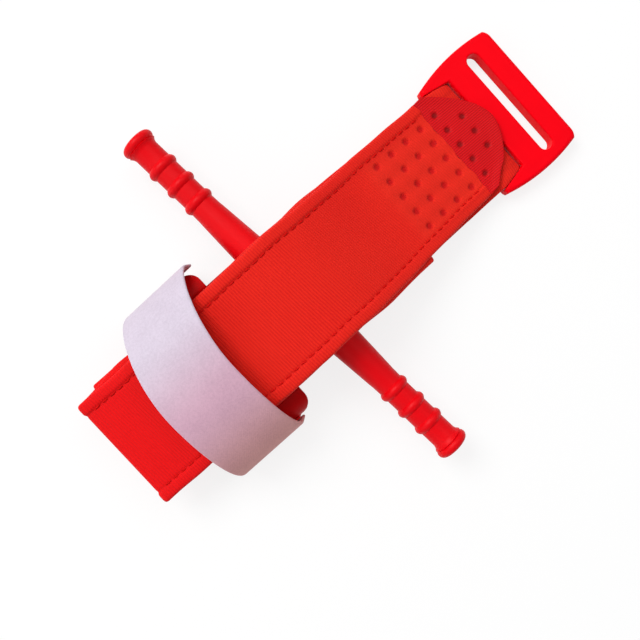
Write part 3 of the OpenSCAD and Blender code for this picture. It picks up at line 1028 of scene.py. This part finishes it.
class TOURNIQUET_OT_buckle(bpy.types.Operator):
    """Moulds the buckle with its slot, pocket, wings and anchor bar"""
    bl_idname = "tourniquet.buckle"
    bl_label = "Buckle"
    GLOSS = 0.04
    SHARP = 50
    EDGE_STEPS = 8
    CORNER_STEPS = 6
    FRONT_STEPS = 8
    SIDE_STEPS = 16
    POCKET_STEPS = 6
    END_STEPS = 16
    BAR_STEPS = 40
    # Each face has a narrow flat rim, so that its shading starts level.
    RIM = 0.12 * MM

    def execute(self, context):
        buckle = props().buckle
        shape = bmesh.new()
        turns = spaced(0, math.pi / 2, self.EDGE_STEPS)
        levels = [(0.0, self.RIM)] + [(buckle.edge * (1 - math.cos(turn)), 0.0) for turn in turns]
        levels += [(buckle.thickness - depth, rim) for depth, rim in reversed(levels)]
        below = None
        for height, rim in levels:
            depth = min(height, buckle.thickness - height)
            outer = self.rounding(buckle.edge, depth) + rim
            inner = self.rounding(buckle.lip, depth) + rim
            rings = [self.loop(shape, self.outline(buckle, outer, inner), height),
                     self.loop(shape, self.slot(buckle, inner), height)]
            if below is None:
                self.cap(shape, rings)
            else:
                for lower, upper in zip(below, rings):
                    self.join(shape, lower, upper)
            below = rings
        self.cap(shape, below)
        bmesh.ops.translate(shape, vec=(0, 0, buckle.bar_height - buckle.thickness / 2), verts=shape.verts[:])
        spin = Matrix.Translation((buckle.bar_x, 0, buckle.bar_height)) @ Matrix.Rotation(math.pi / 2, 4, "X")
        bmesh.ops.create_cone(shape, cap_ends=True, segments=self.BAR_STEPS, radius1=buckle.bar / 2,
                              radius2=buckle.bar / 2, depth=2 * buckle.wing_half + MM, matrix=spin)
        material = moulded_finish("buckle_moulding", props().colours.moulded, self.GLOSS)
        dress(finished("buckle_frame", shape, material, self.SHARP), "buckle", "moulded_red", "buckle")
        return {"FINISHED"}

    def rounding(self, radius, depth):
        """How far a rounded edge lies inside its outline at a depth below the face."""
        return radius * (1 - rounded_edge(depth / radius))

    def loop(self, shape, points, height):
        """A loop of vertices at one height."""
        return [shape.verts.new((x, y, height)) for x, y in points]

    def join(self, shape, lower, upper):
        """Joins two closed loops of as many vertices with quads."""
        for corners in zip(lower, lower[1:] + lower[:1], upper[1:] + upper[:1], upper):
            shape.faces.new(corners)

    def outline(self, buckle, outer, inner):
        """The outer edge and the pocket in plan: outer and inner are how far each is drawn back."""
        middle = (buckle.front + buckle.bar_x) / 2
        slot_x = (buckle.slot_rear + buckle.slot_front) / 2
        radius = buckle.side_radius - outer
        corner = buckle.corner - outer
        core = buckle.width / 2 - buckle.corner
        front_core = buckle.front - buckle.corner
        rear_core = buckle.rear + buckle.corner
        slant = pocket_slant(buckle)

        def side(x):
            return buckle.width / 2 - buckle.side_radius + math.sqrt(radius ** 2 - (x - middle) ** 2)

        def bend(over):
            return core + math.sqrt(max(0.0, corner ** 2 - max(0.0, over) ** 2))

        def front(x):
            return bend(x - front_core)

        def rear(x):
            return bend(rear_core - x)

        def pocket(x):
            return buckle.wing_half - slant * (x - buckle.rear) + inner * math.hypot(1, slant)

        def turn(core_x, x):
            return math.acos(max(-1.0, (x - core_x) / corner))

        def round_corner(core_x, start, end):
            turns = spaced(start, end, self.CORNER_STEPS)
            return [(core_x + corner * math.cos(t), core + corner * math.sin(t)) for t in turns]

        def line(height, start, end, steps):
            return [(x, height(x)) for x in spaced(start, end, steps)[1:]]

        front_x = crossing(front, side, front_core, buckle.front - outer)
        rear_x = crossing(side, rear, buckle.rear + outer, rear_core)
        tip_x = crossing(pocket, rear, buckle.rear + outer, rear_core)
        points = round_corner(front_core, 0, turn(front_core, front_x))
        points += line(side, front_x, slot_x, self.FRONT_STEPS)
        points += line(side, slot_x, rear_x, self.SIDE_STEPS)
        points += round_corner(rear_core, turn(rear_core, rear_x), turn(rear_core, tip_x))[1:]
        points += line(pocket, tip_x, buckle.pocket_x + inner, self.POCKET_STEPS)
        return points + [(x, -y) for x, y in reversed(points)]

    def slot(self, buckle, inner):
        """The slot in plan, widened by inner."""
        middle = (buckle.slot_rear + buckle.slot_front) / 2
        radius = (buckle.slot_front - buckle.slot_rear) / 2
        end = arc(middle, buckle.slot_half - radius, radius + inner, 0, 180, self.END_STEPS)
        return end + [(2 * middle - x, -y) for x, y in end]

    def cap(self, shape, rings):
        """Closes one face with two polygons that meet at the ends of the slot."""
        rim, hole = rings
        side = self.CORNER_STEPS + self.FRONT_STEPS
        far_side = len(rim) - 1 - side
        apex = self.END_STEPS // 2
        far_apex = apex + len(hole) // 2
        shape.faces.new(rim[far_side:] + rim[:side + 1] + hole[apex::-1] + hole[:far_apex - 1:-1])
        shape.faces.new(rim[side:far_side + 1] + hole[far_apex:apex - 1:-1])


class TOURNIQUET_OT_clip(bpy.types.Operator):
    """Moulds the base plate with its two hooks and its bridge"""
    bl_idname = "tourniquet.clip"
    bl_label = "Clip plate"
    GLOSS = 0.06
    SHARP = 40
    CORNER_STEPS = 8
    # Start, end and steps of the hook's arcs: its outside, its lip and the space inside it.
    OUTER_ARC = (0, 90, 14)
    LIP_ARC = (110, 250, 8)
    INNER_ARC = (90, -90, 18)
    # Share of the plate's edge rounding that the hooks have.
    HOOK_EDGE = 0.6
    # How far the bridge's posts reach into the plate.
    POST_SUNK = 0.3 * MM

    def execute(self, context):
        clip = props().clip
        material = moulded_finish("clip_moulding", props().colours.clip, self.GLOSS)
        shape = bmesh.new()
        plate = self.rounded_outline(clip.rear, clip.front, clip.half_width, clip.corner)
        self.slab(shape, plate, Matrix.Identity(4), clip.thickness, clip.edge)
        self.slab(shape, self.bridge_outline(clip), self.stand(clip.bridge_x), clip.bridge_width, clip.edge)
        for piece in (finished("clip_body", shape, material, self.SHARP), self.hooks(clip, material)):
            dress(piece, "strap_base", "clip_red", "clip_plate")
        return {"FINISHED"}

    def hooks(self, clip, material):
        """Two hooks whose ends are rounded in plan."""
        far = -clip.hook_near - clip.hook_length
        outer = clip.hook_y + clip.hook_radius + clip.hook_wall
        shape = bmesh.new()
        for side in (1, -1):
            self.slab(shape, self.hook_outline(clip), self.stand(far, side), clip.hook_length)
        piece = finished("clip_hooks", shape, material)
        blank = bmesh.new()
        plan = self.rounded_outline(far, -clip.hook_near, outer, clip.hook_corner)
        self.slab(blank, plan, Matrix.Translation((0, 0, -MM)), 3 * clip.hook_height)
        cut(piece, blank, "INTERSECT")
        shape = bmesh.new()
        shape.from_mesh(piece.data)
        sharp = math.radians(self.SHARP)
        rims = [edge for edge in shape.edges if len(edge.link_faces) == 2 and edge.calc_face_angle() > sharp]
        bevel(shape, rims, self.HOOK_EDGE * clip.edge, 2)
        shape.to_mesh(piece.data)
        shape.free()
        piece.data.shade_smooth()
        piece.data.set_sharp_from_angle(angle=sharp)
        return piece

    def stand(self, x, side=1):
        """Stands an outline upright across the strap, or its mirror image."""
        return Matrix(((0, 0, 1, x), (side, 0, 0, 0), (0, 1, 0, 0), (0, 0, 0, 1)))

    def slab(self, shape, outline, turn, depth, edge=0.0):
        """Extrudes an outline and rounds the edges of its two ends where asked."""
        face = shape.faces.new([shape.verts.new(turn @ Vector((a, b, 0))) for a, b in outline])
        raised = bmesh.ops.extrude_face_region(shape, geom=[face])
        upper = [item for item in raised["geom"] if isinstance(item, bmesh.types.BMVert)]
        ends = [item for item in raised["geom"] if isinstance(item, bmesh.types.BMFace)]
        bmesh.ops.translate(shape, vec=turn.to_3x3() @ Vector((0, 0, depth)), verts=upper)
        if edge:
            bevel(shape, [rim for end in (face, *ends) for rim in end.edges], edge, 3, clamp=True)

    def rounded_outline(self, rear, front, half_width, corner):
        """A rectangle with rounded corners."""
        y = half_width - corner
        front_x, rear_x = front - corner, rear + corner
        corners = ((front_x, y, 90), (front_x, -y, 0), (rear_x, -y, -90), (rear_x, y, 180))
        arcs = [arc(*middle, corner, start, start - 90, self.CORNER_STEPS) for *middle, start in corners]
        return sum(arcs, [])

    def hook_outline(self, clip):
        """A hook seen along the strap: up its outside, round its lip and back down inside."""
        y, z = clip.hook_y, clip.hook_height
        outer = clip.hook_radius + clip.hook_wall
        lip = clip.hook_wall / 2
        points = [(y, 0), (y + outer, 0)]
        points += arc(y, z, outer, *self.OUTER_ARC)
        points += arc(y, z + clip.hook_radius + lip, lip, *self.LIP_ARC)
        return points + arc(y, z, clip.hook_radius, *self.INNER_ARC)

    def bridge_outline(self, clip):
        """The bridge seen along the strap: a bar on two posts."""
        outer = clip.half_width
        inner = outer - clip.post
        low, top = clip.bridge_low, clip.bridge_low + clip.bridge_thickness
        foot = clip.thickness - self.POST_SUNK
        opening = [(-inner, foot), (-inner, low), (inner, low), (inner, foot)]
        return [(-outer, foot), *opening, (outer, foot), (outer, top), (-outer, top)]


class TOURNIQUET_OT_base_sleeve(bpy.types.Operator):
    """Lays the flat sleeve on the plate, looped round the buckle's anchor bar"""
    bl_idname = "tourniquet.base_sleeve"
    bl_label = "Base sleeve"
    COLUMNS = 10
    REAR_X = -52 * MM
    # Room between the loop and the anchor bar, the middle bar and the pocket's sides.
    BAR_ROOM = 0.3 * MM
    MIDDLE_ROOM = 0.58 * MM
    SIDE_ROOM = 0.15 * MM
    LOOP_STEPS = 20
    # Distances behind the anchor bar: where the lower cloth leaves the level, where the end that is sewn back
    # comes down, where it ends, and its two rows of stitches.
    LEVEL_END = 14 * MM
    SEWN_START = 10 * MM
    SEWN_END = 19 * MM
    SEAMS = (17.2 * MM, 12 * MM)

    def execute(self, context):
        cloth = props().cloth
        material = cloth_finish("base_cloth")
        self.lay("sleeve_under", self.loop_points(), material, "sleeve_lower", "clip_body", [self.sew_back()])
        upper_z = node_low("sleeve_upper_front").z + cloth.cloth / 2
        for end in ("front", "rear"):
            node = "sleeve_upper_" + end
            points = level_run(upper_z, node_low(node).x, node_high(node).x)
            self.lay("sleeve_over_" + end, points, material, node, "sleeve_under")
        return {"FINISHED"}

    def loop_points(self):
        """Along the plate, under the anchor bar, round it and back on top of the sleeve."""
        cloth, buckle = props().cloth, props().buckle
        low = node_low("sleeve_upper_front").z - props().inner.thickness - cloth.cloth / 2
        top = node_high("sleeve_upper_front").z + cloth.cloth / 2
        bar_x, bar_z = buckle.bar_x, buckle.bar_height
        radius = buckle.bar / 2 + self.BAR_ROOM + cloth.cloth / 2
        stretch = (buckle.pocket_x - self.MIDDLE_ROOM - bar_x) / radius
        # Distances behind the anchor bar, and heights.
        under = [(11 * MM, low - 0.4 * MM), (8 * MM, low - MM)]
        under += [(5.5 * MM, bar_z - 0.94 * radius), (3 * MM, bar_z - radius)]
        over = [(3 * MM, bar_z + radius), (5.5 * MM, top + 0.7 * MM), (8 * MM, top + 0.28 * MM)]
        points = level_run(low, self.REAR_X, bar_x - self.LEVEL_END)
        points += [(bar_x - back, z) for back, z in under]
        round_bar = arc(bar_x, bar_z, radius, -90, 90, self.LOOP_STEPS)
        points += [(bar_x + stretch * (x - bar_x), z) for x, z in round_bar]
        points += [(bar_x - back, z) for back, z in over]
        return points + level_run(top, bar_x - self.SEWN_START, bar_x - self.SEWN_END)

    def room(self, point):
        """Half the width that the pocket leaves the loop at a point, however far the buckle swings."""
        buckle = props().buckle
        away = point - Vector((buckle.bar_x, buckle.bar_height))
        turn = math.atan2(away.y, away.x)
        nearest = turn if turn > 0 else min(0.0, turn + buckle.swing)
        reach = buckle.bar_x + away.length * math.cos(nearest) - buckle.rear
        return buckle.wing_half - pocket_slant(buckle) * reach - self.SIDE_ROOM

    def sew_back(self):
        """Two rows of stitches across the end that is sewn back behind the buckle."""
        cloth = props().cloth
        shape = bmesh.new()
        height = node_high("sleeve_upper_front").z + cloth.cloth
        stitches = int((cloth.width - 2 * cloth.hem) / cloth.stitch)
        for back in self.SEAMS:
            for k in range(stitches):
                spot = (props().buckle.bar_x - back, (k - (stitches - 1) / 2) * cloth.stitch, height)
                stitch(shape, Matrix.Translation(spot) @ Matrix.Rotation(math.pi / 2, 4, "Z"))
        thread = finished("stitches_loop", shape, thread_finish("stitches_loop_thread"))
        return dress(thread, "strap_base", "sleeve_cloth")

    def lay(self, name, points, material, node, under, threads=()):
        """Lays one cloth of the sleeve along a line."""
        cloth = props().cloth
        path = Path(points)
        spots = spread(self.COLUMNS)

        def height(across):
            return sleeve_height(across, cloth.cloth / 2, 0, 0.25 * cloth.groove)

        def section(k):
            narrow = min(1.0, self.room(path.points[k]) / (cloth.width / 2))
            return [(across * narrow, up) for across, up in ring(height, height, spots)]

        piece = finished(name, sweep(path, section), material, SHARP_CLOTH)
        dress(piece, "strap_base", "sleeve_cloth", node)


class TOURNIQUET_OT_inner_strap(bpy.types.Operator):
    """Runs the tension strap through the sleeve and up through the rod"""
    bl_idname = "tourniquet.inner_strap"
    bl_label = "Tension strap"
    STEP = 3 * MM
    RAMP_STEPS = 12
    COLUMNS = 10
    EDGE = 1 * MM
    EDGE_SPOTS = (0, 0.1 * MM, 0.3 * MM, 0.6 * MM)

    def execute(self, context):
        inner, rod = props().inner, props().rod
        material = webbing_finish("inner_weave")
        for end in ("front", "rear"):
            node = "inner_strap_" + end
            points = level_run(inner.height, node_low(node).x, node_high(node).x, self.STEP)
            piece, flat_length = self.weave("inner_" + end, points, material)
            dress(piece, "strap_base", "inner_webbing", node)
        for end, side in (("front", 1), ("rear", -1)):
            points = [(0, rod.height), (inner.slot * 0.5, rod.height)]
            for x in spaced(inner.slot, inner.ramp, self.RAMP_STEPS):
                fall = smooth(inner.slot, inner.ramp, x)
                points.append((x, rod.height - (rod.height - inner.height) * fall))
            points = [(side * x, z) for x, z in points][::side]
            piece, flat_length = self.weave("inner_ramp_" + end, points, material)
            side * inner.slot
            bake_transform(piece)
            stand_for(piece, "inner_webbing", "inner_strap_bridge")
        return {"FINISHED"}

    def weave(self, name, points, material):
        """A stretch of the tension strap along a line, and its length."""
        shape, flat_length = tape(points, props().inner, self.EDGE, self.EDGE_SPOTS, self.COLUMNS)
        return finished(name, shape, material, SHARP_CLOTH), flat_length


class TOURNIQUET_OT_folded_tail(bpy.types.Operator):
    """Folds the sleeve to and fro over the rod, up to the cut below the white strap"""
    bl_idname = "tourniquet.folded_tail"
    bl_label = "Folded tail"
    COLUMNS = 10
    # Distances before the topmost run, between which the lower layers' looseness ends.
    LOOSE_END = (20 * MM, 2 * MM)
    # Shares by which the lower layers are wider, everywhere and towards the buckle, and where that sets in.
    WIDER = 0.012
    WIDER_FRONT = 0.035
    FRONT = (6 * MM, 20 * MM)
    # How far the lower layers lie to one side at the rear, and where that ends.
    DRIFT = 1.3 * MM
    REAR = (-52 * MM, -25 * MM)
    FIRST_STITCH = 1.5 * MM

    def execute(self, context):
        cloth = props().cloth
        path = Path(folded_points())
        spots = spread(self.COLUMNS)
        top_start = path.length - (CUT_X + cloth.top_fold)
        loose_end = [top_start - before for before in self.LOOSE_END]

        def section(k):
            x, way = path.points[k].x, path.along[k]
            loose = 1 - smooth(*loose_end, way)
            widen = 1 + loose * (self.WIDER + self.WIDER_FRONT * smooth(*self.FRONT, x))
            drift = loose * self.DRIFT * (1 - smooth(*self.REAR, x))
            sway = loose * ripple(way, LAYER_WAVES) + (1 - loose) * edge_shift(x)
            above = partial(upper_face, puff=cloth.puff * (1 - loose))
            return [(across * widen + drift + sway, up) for across, up in ring(above, lower_face, spots)]

        piece = finished("folded_sleeve", sweep(path, section), cloth_finish("folded_cloth"), SHARP_CLOTH)
        dress(piece, "strap_base", "sleeve_cloth", "folded_tail")
        thread = sew("stitches_rear", -cloth.top_fold + self.FIRST_STITCH, CUT_X)
        dress(thread, "strap_base", "sleeve_cloth")
        return {"FINISHED"}


class TOURNIQUET_OT_top_run(bpy.types.Operator):
    """Lays the topmost run of the sleeve from the white strap over the rod to its welded end"""
    bl_idname = "tourniquet.top_run"
    bl_label = "Top run"
    COLUMNS = 66
    STEP = 1.2 * MM
    WELD_STEP = 0.4 * MM
    # Distances before the sleeve's end: where it drops, where it frays and the last stitch.
    DROP_START = 3 * MM
    FRAY_START = 4 * MM
    LAST_STITCH = 2 * MM
    DROP = 0.12 * MM
    # How far in from its edges the cloth is uneven, and how far its upper face may lie below its middle.
    EVEN_EDGE = 2 * MM
    FACE_DEPTH = 0.3 * MM
    # The stretch in which the run bends when it is peeled up.
    PEEL = (-25 * MM, -15 * MM)

    def execute(self, context):
        cloth, tip = props().cloth, props().tip
        points = run(top_height, CUT_X, WELD_X, self.STEP)
        points += run(top_height, WELD_X, tip.sleeve_end, self.WELD_STEP)[1:]
        path = Path(points, begin=Path(folded_points()).length)
        spots = spread(self.COLUMNS)

        def section(k):
            x = path.points[k].x
            drop = self.DROP * smooth(tip.sleeve_end - self.DROP_START, tip.sleeve_end, x)

            def above(across):
                inside = smooth(0, self.EVEN_EDGE, cloth.width / 2 - abs(across))
                wave = inside * (cloth_wave(x, across) - drop)
                return upper_face(across, cloth.puff) + wave - tip.weld_depth * weld_dip(x, across)

            return [(lie_across(x, across), up) for across, up in ring(above, lower_face, spots)]

        shape = sweep(path, section)
        self.mark_welds(shape)
        piece = finished("top_sleeve", shape, cloth_finish("top_cloth"), SHARP_CLOTH)
        self.hinge(piece)
        stand_for(piece, "sleeve_cloth", "tail_end")
        thread = sew("stitches_top", CUT_X, tip.sleeve_end - self.LAST_STITCH)
        self.hinge(thread)
        stand_for(thread, "sleeve_cloth")
        return {"FINISHED"}

    def hinge(self, piece):
        """Bakes a piece's placement into its mesh, after working out the middle and height of the peeled
        stretch.
        """
        start, end = self.PEEL
        height = top_height((start + end) / 2)
        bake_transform(piece)

    def mark_welds(self, shape):
        """Marks the welded part and its dimples for the finish, and frays the sleeve's end a little."""
        end = props().tip.sleeve_end
        zone = shape.verts.layers.float.new("weld")
        dimple = shape.verts.layers.float.new("dimple")
        for vert in shape.verts:
            x, across = vert.co.x, vert.co.y - edge_shift(vert.co.x)
            if vert.co.z > top_height(x) - self.FACE_DEPTH:
                vert[zone] = weld_zone(x, across)
                vert[dimple] = weld_dip(x, across)
            vert.co.x += ripple(across, FRAY_WAVES) * smooth(end - self.FRAY_START, end, x)


class TOURNIQUET_OT_tip_tab(bpy.types.Operator):
    """Cuts the dark pull tab with its rounded tip and welds"""
    bl_idname = "tourniquet.tip_tab"
    bl_label = "Pull tab"
    ROWS = 60
    COLUMNS = 96
    NARROWER = 0.1 * MM
    INSIDE = 6 * MM
    CURL = 0.35 * MM
    CURL_LENGTH = 5 * MM

    def execute(self, context):
        cloth, tip = props().cloth, props().tip
        half = cloth.width / 2 - self.NARROWER
        start = tip.sleeve_end - self.INSIDE
        shape = bmesh.new()
        layer = shape.loops.layers.uv.new("cloth")
        dimple = shape.verts.layers.float.new("dimple")
        bmesh.ops.create_grid(shape, x_segments=self.ROWS, y_segments=self.COLUMNS, size=1)
        for vert in shape.verts:
            across = vert.co.y * half
            end = tip.reach - tip.round_length * abs(vert.co.y) ** tip.fullness
            x = start + (end - start) * (vert.co.x + 1) / 2
            vert[dimple] = weld_dip(x, across)
            curl = self.CURL * smooth(end - self.CURL_LENGTH, end, x)
            vert.co = (x, lie_across(x, across), top_height(x) - vert[dimple] * tip.weld_depth + curl)
        for face in shape.faces:
            for loop in face.loops:
                loop[layer].uv = loop.vert.co.xy
        piece = finished("pull_tab", shape, tab_finish("tab_cloth"))
        thick = piece.modifiers.new("thickness", "SOLIDIFY")
        thick.thickness = tip.thickness
        thick.offset = 0
        apply_modifiers(piece)
        dress(piece, "tail", "pull_tab", "tip_tab")
        return {"FINISHED"}


class TOURNIQUET_OT_white_strap(bpy.types.Operator):
    """Arches the white strap over the folded tail, with its sewn end and the hook pad"""
    bl_idname = "tourniquet.white_strap"
    bl_label = "White strap"
    COLUMNS = 16
    EDGE = 0.7 * MM
    EDGE_SPOTS = (0, 0.08 * MM, 0.25 * MM, 0.5 * MM)
    ARCH_STEPS = 45
    FOOT_STEPS = 5
    SEAT_STEPS = 6
    # Points of the arch after which it no longer stands out in front.
    SHIFT_POINTS = 24
    SEAT_ROOM = 0.3 * MM
    # How far in and up from its foot the strap bends when it is opened.
    BEND_IN = 5 * MM
    BEND_UP = 7 * MM
    # The hook pad's base, and its small hooks.
    PAD_BASE = 0.45 * MM
    PAD_EDGE = 0.15 * MM
    PAD_LIFT = 0.23 * MM
    PAD_SHARP = 40
    BRISTLE_ROWS = 5
    BRISTLE_COLUMNS = 11
    BRISTLE_ALONG = 1.35 * MM
    BRISTLE_UP = 1.3 * MM
    BRISTLE_LIFT = 0.35 * MM
    BRISTLE = {"segments": 6, "radius1": 0.22 * MM, "radius2": 0.14 * MM, "depth": 0.4 * MM}

    def execute(self, context):
        band = props().band
        hook_z = props().clip.hook_height
        lean = Matrix.Translation((band.middle, 0, hook_z)) @ Matrix.Rotation(-band.lean, 4, "Y")
        turn = lean @ Matrix(((0, 1, 0, 0), (-1, 0, 0, 0), (0, 0, 1, -hook_z), (0, 0, 0, 1)))
        material = band_finish("loop_tape")
        side = -(band.hook_out + band.pad + self.SEAT_ROOM + band.thickness / 2)
        seat = [(side, z) for z in spaced(band.foot, hook_z, self.SEAT_STEPS)]
        sewn_end = self.strip("sewn_end", seat, turn, material, lambda k: band.shift)[0]
        dress(sewn_end, "strap_base", "white_strap", "strap_anchor_patch")
        turns = spaced(0, math.pi, self.ARCH_STEPS)
        arch = [(-band.radius * math.cos(a), hook_z + band.rise * math.sin(a)) for a in turns]
        arch += [(band.radius, z) for z in spaced(hook_z, band.foot, self.FOOT_STEPS)[1:]]
        piece, flat_length = self.strip("white_strap", arch, turn, material,
                                        lambda k: band.shift * (1 - smooth(0, self.SHIFT_POINTS, k)))
        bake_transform(piece)
        stand_for(piece, "white_strap", "retaining_strap")
        self.hook_pad(turn)
        return {"FINISHED"}

    def strip(self, name, points, turn, material, shift):
        """A stretch of the white strap, drawn along a line across the sleeve."""
        shape, flat_length = tape(points, props().band, self.EDGE, self.EDGE_SPOTS, self.COLUMNS, shift)
        bmesh.ops.transform(shape, matrix=turn, verts=shape.verts[:])
        return finished(name, shape, material, SHARP_CLOTH), flat_length

    def hook_pad(self, turn):
        """A thin pad with rows of small hooks."""
        band = props().band
        tall = props().clip.hook_height - band.foot
        shape = block(self.PAD_BASE, band.pad_length, tall)
        bevel(shape, shape.edges[:], self.PAD_EDGE, 2)
        outwards = Matrix.Rotation(math.pi / 2, 4, "Y")
        for row in range(self.BRISTLE_ROWS):
            up = (row - (self.BRISTLE_ROWS - 1) / 2) * self.BRISTLE_UP
            for column in range(self.BRISTLE_COLUMNS):
                along = (column - (self.BRISTLE_COLUMNS - 1) / 2) * self.BRISTLE_ALONG
                spot = Matrix.Translation((self.BRISTLE_LIFT, along, up))
                bmesh.ops.create_cone(shape, cap_ends=True, matrix=spot @ outwards, **self.BRISTLE)
        place = Matrix.Translation((band.hook_out + self.PAD_LIFT, band.pad_shift, band.foot + tall / 2))
        bmesh.ops.transform(shape, matrix=turn @ place, verts=shape.verts[:])
        material = moulded_finish("hook_tape", props().colours.tab)
        piece = finished("hook_pad_strip", shape, material, self.PAD_SHARP)
        dress(piece, "strap_base", "hook_pad", "hook_pad")


class TOURNIQUET_OT_stage(bpy.types.Operator):
    """Sets the floor, the light and the camera"""
    bl_idname = "tourniquet.stage"
    bl_label = "Stage"
    # Name, place, diameter and power of each lamp.
    LAMPS = (
        ("key_light", (-0.25, 1.0, 1.25), 0.9, 17.5),
        ("fill_light", (0.75, 0.35, 1.4), 1.2, 4.3),
        ("side_light", (-1.1, 0.2, 0.75), 1.0, 2.6),
    )
    SKY_LIGHT = 0.36
    SKY_WHITE = 1.0
    FLOOR_HALF = 4
    FLOOR_DROP = 0.2 * MM
    # The floor's own white and the share of it that is seen; the rest takes the light and the shadow.
    FLOOR_WHITE = 1.02
    FLOOR_SHARE = 0.8
    SENSOR = 36
    CLIP = (0.01, 20)

    def execute(self, context):
        scene = context.scene
        scene.view_settings.view_transform = "Standard"
        self.floor()
        self.world(scene)
        for lamp in self.LAMPS:
            self.lamp(scene, *lamp)
        self.camera(scene)
        return {"FINISHED"}

    def floor(self):
        shape = bmesh.new()
        bmesh.ops.create_grid(shape, x_segments=1, y_segments=1, size=self.FLOOR_HALF)
        bmesh.ops.translate(shape, vec=(0, 0, -self.FLOOR_DROP), verts=shape.verts[:])
        finish = Finish("floor_paint")
        finish.wire(Base_Color=(*props().colours.floor, 1), Roughness=0.9, Specular_IOR_Level=0.1)
        glow = finish.node("ShaderNodeEmission", inputs={"Color": (*WHITE, 1), "Strength": self.FLOOR_WHITE})
        surface = Wire(finish, finish.surface.outputs[0])
        finish.show("Material Output", finish.seen() * self.FLOOR_SHARE, surface, glow)
        finished("floor", shape, finish.material)

    def world(self, scene):
        world = bpy.data.worlds.new("studio")
        world.use_nodes = True
        scene.world = world
        sky = Nodes(world.node_tree)
        plain, white = (sky.node("ShaderNodeBackground", inputs={"Color": (*WHITE, 1), "Strength": strength})
                        for strength in (self.SKY_LIGHT, self.SKY_WHITE))
        sky.show("World Output", sky.seen(), plain, white)

    def lamp(self, scene, name, place, diameter, power):
        light = bpy.data.lights.new(name, "AREA")
        light.energy = power
        light.shape = "DISK"
        light.size = diameter
        lamp = bpy.data.objects.new(name, light)
        lamp.location = place
        lamp.rotation_euler = (-Vector(place)).to_track_quat("-Z", "Y").to_euler()
        scene.collection.objects.link(lamp)

    def camera(self, scene):
        stage = props().stage
        lens = bpy.data.cameras.new("camera")
        lens.sensor_width = self.SENSOR
        lens.lens = stage.focal * self.SENSOR
        lens.shift_x, lens.shift_y = stage.shift
        lens.clip_start, lens.clip_end = self.CLIP
        back = (Vector(stage.camera) - Vector(stage.aim)).normalized()
        right = Vector((math.cos(stage.heading), -math.sin(stage.heading), 0))
        right = (right - back * right.dot(back)).normalized()
        turn = Matrix((right, back.cross(right), back)).transposed().to_4x4()
        camera = bpy.data.objects.new("camera", lens)
        camera.matrix_world = Matrix.Translation(stage.camera) @ turn
        scene.collection.objects.link(camera)
        scene.camera = camera


OPERATORS = (
    TOURNIQUET_OT_rod,
    TOURNIQUET_OT_buckle,
    TOURNIQUET_OT_clip,
    TOURNIQUET_OT_base_sleeve,
    TOURNIQUET_OT_inner_strap,
    TOURNIQUET_OT_folded_tail,
    TOURNIQUET_OT_top_run,
    TOURNIQUET_OT_tip_tab,
    TOURNIQUET_OT_white_strap,
    TOURNIQUET_OT_stage,
)


class TOURNIQUET_PT_panel(bpy.types.Panel):
    """Lists the pieces and their sizes"""
    bl_label = "Tourniquet"
    bl_idname = "TOURNIQUET_PT_panel"
    bl_space_type = "VIEW_3D"
    bl_region_type = "UI"
    bl_category = "Tourniquet"

    def draw(self, context):
        for operator in OPERATORS:
            self.layout.operator(operator.bl_idname)
        for name, group in GROUPS.items():
            box = self.layout.box()
            box.label(text=name)
            for setting in group.__annotations__:
                box.prop(getattr(context.scene.tourniquet, name), setting)


CLASSES = (*GROUPS.values(), TourniquetSettings, *OPERATORS, TOURNIQUET_PT_panel)


def register():
    for item in CLASSES:
        bpy.utils.register_class(item)
    bpy.types.Scene.tourniquet = PointerProperty(type=TourniquetSettings)


def unregister():
    del bpy.types.Scene.tourniquet
    for item in reversed(CLASSES):
        bpy.utils.unregister_class(item)


def main():
    register()
    for operator in OPERATORS:
        group, name = operator.bl_idname.split(".")
        getattr(getattr(bpy.ops, group), name)()


if __name__ == "__main__":
    main()
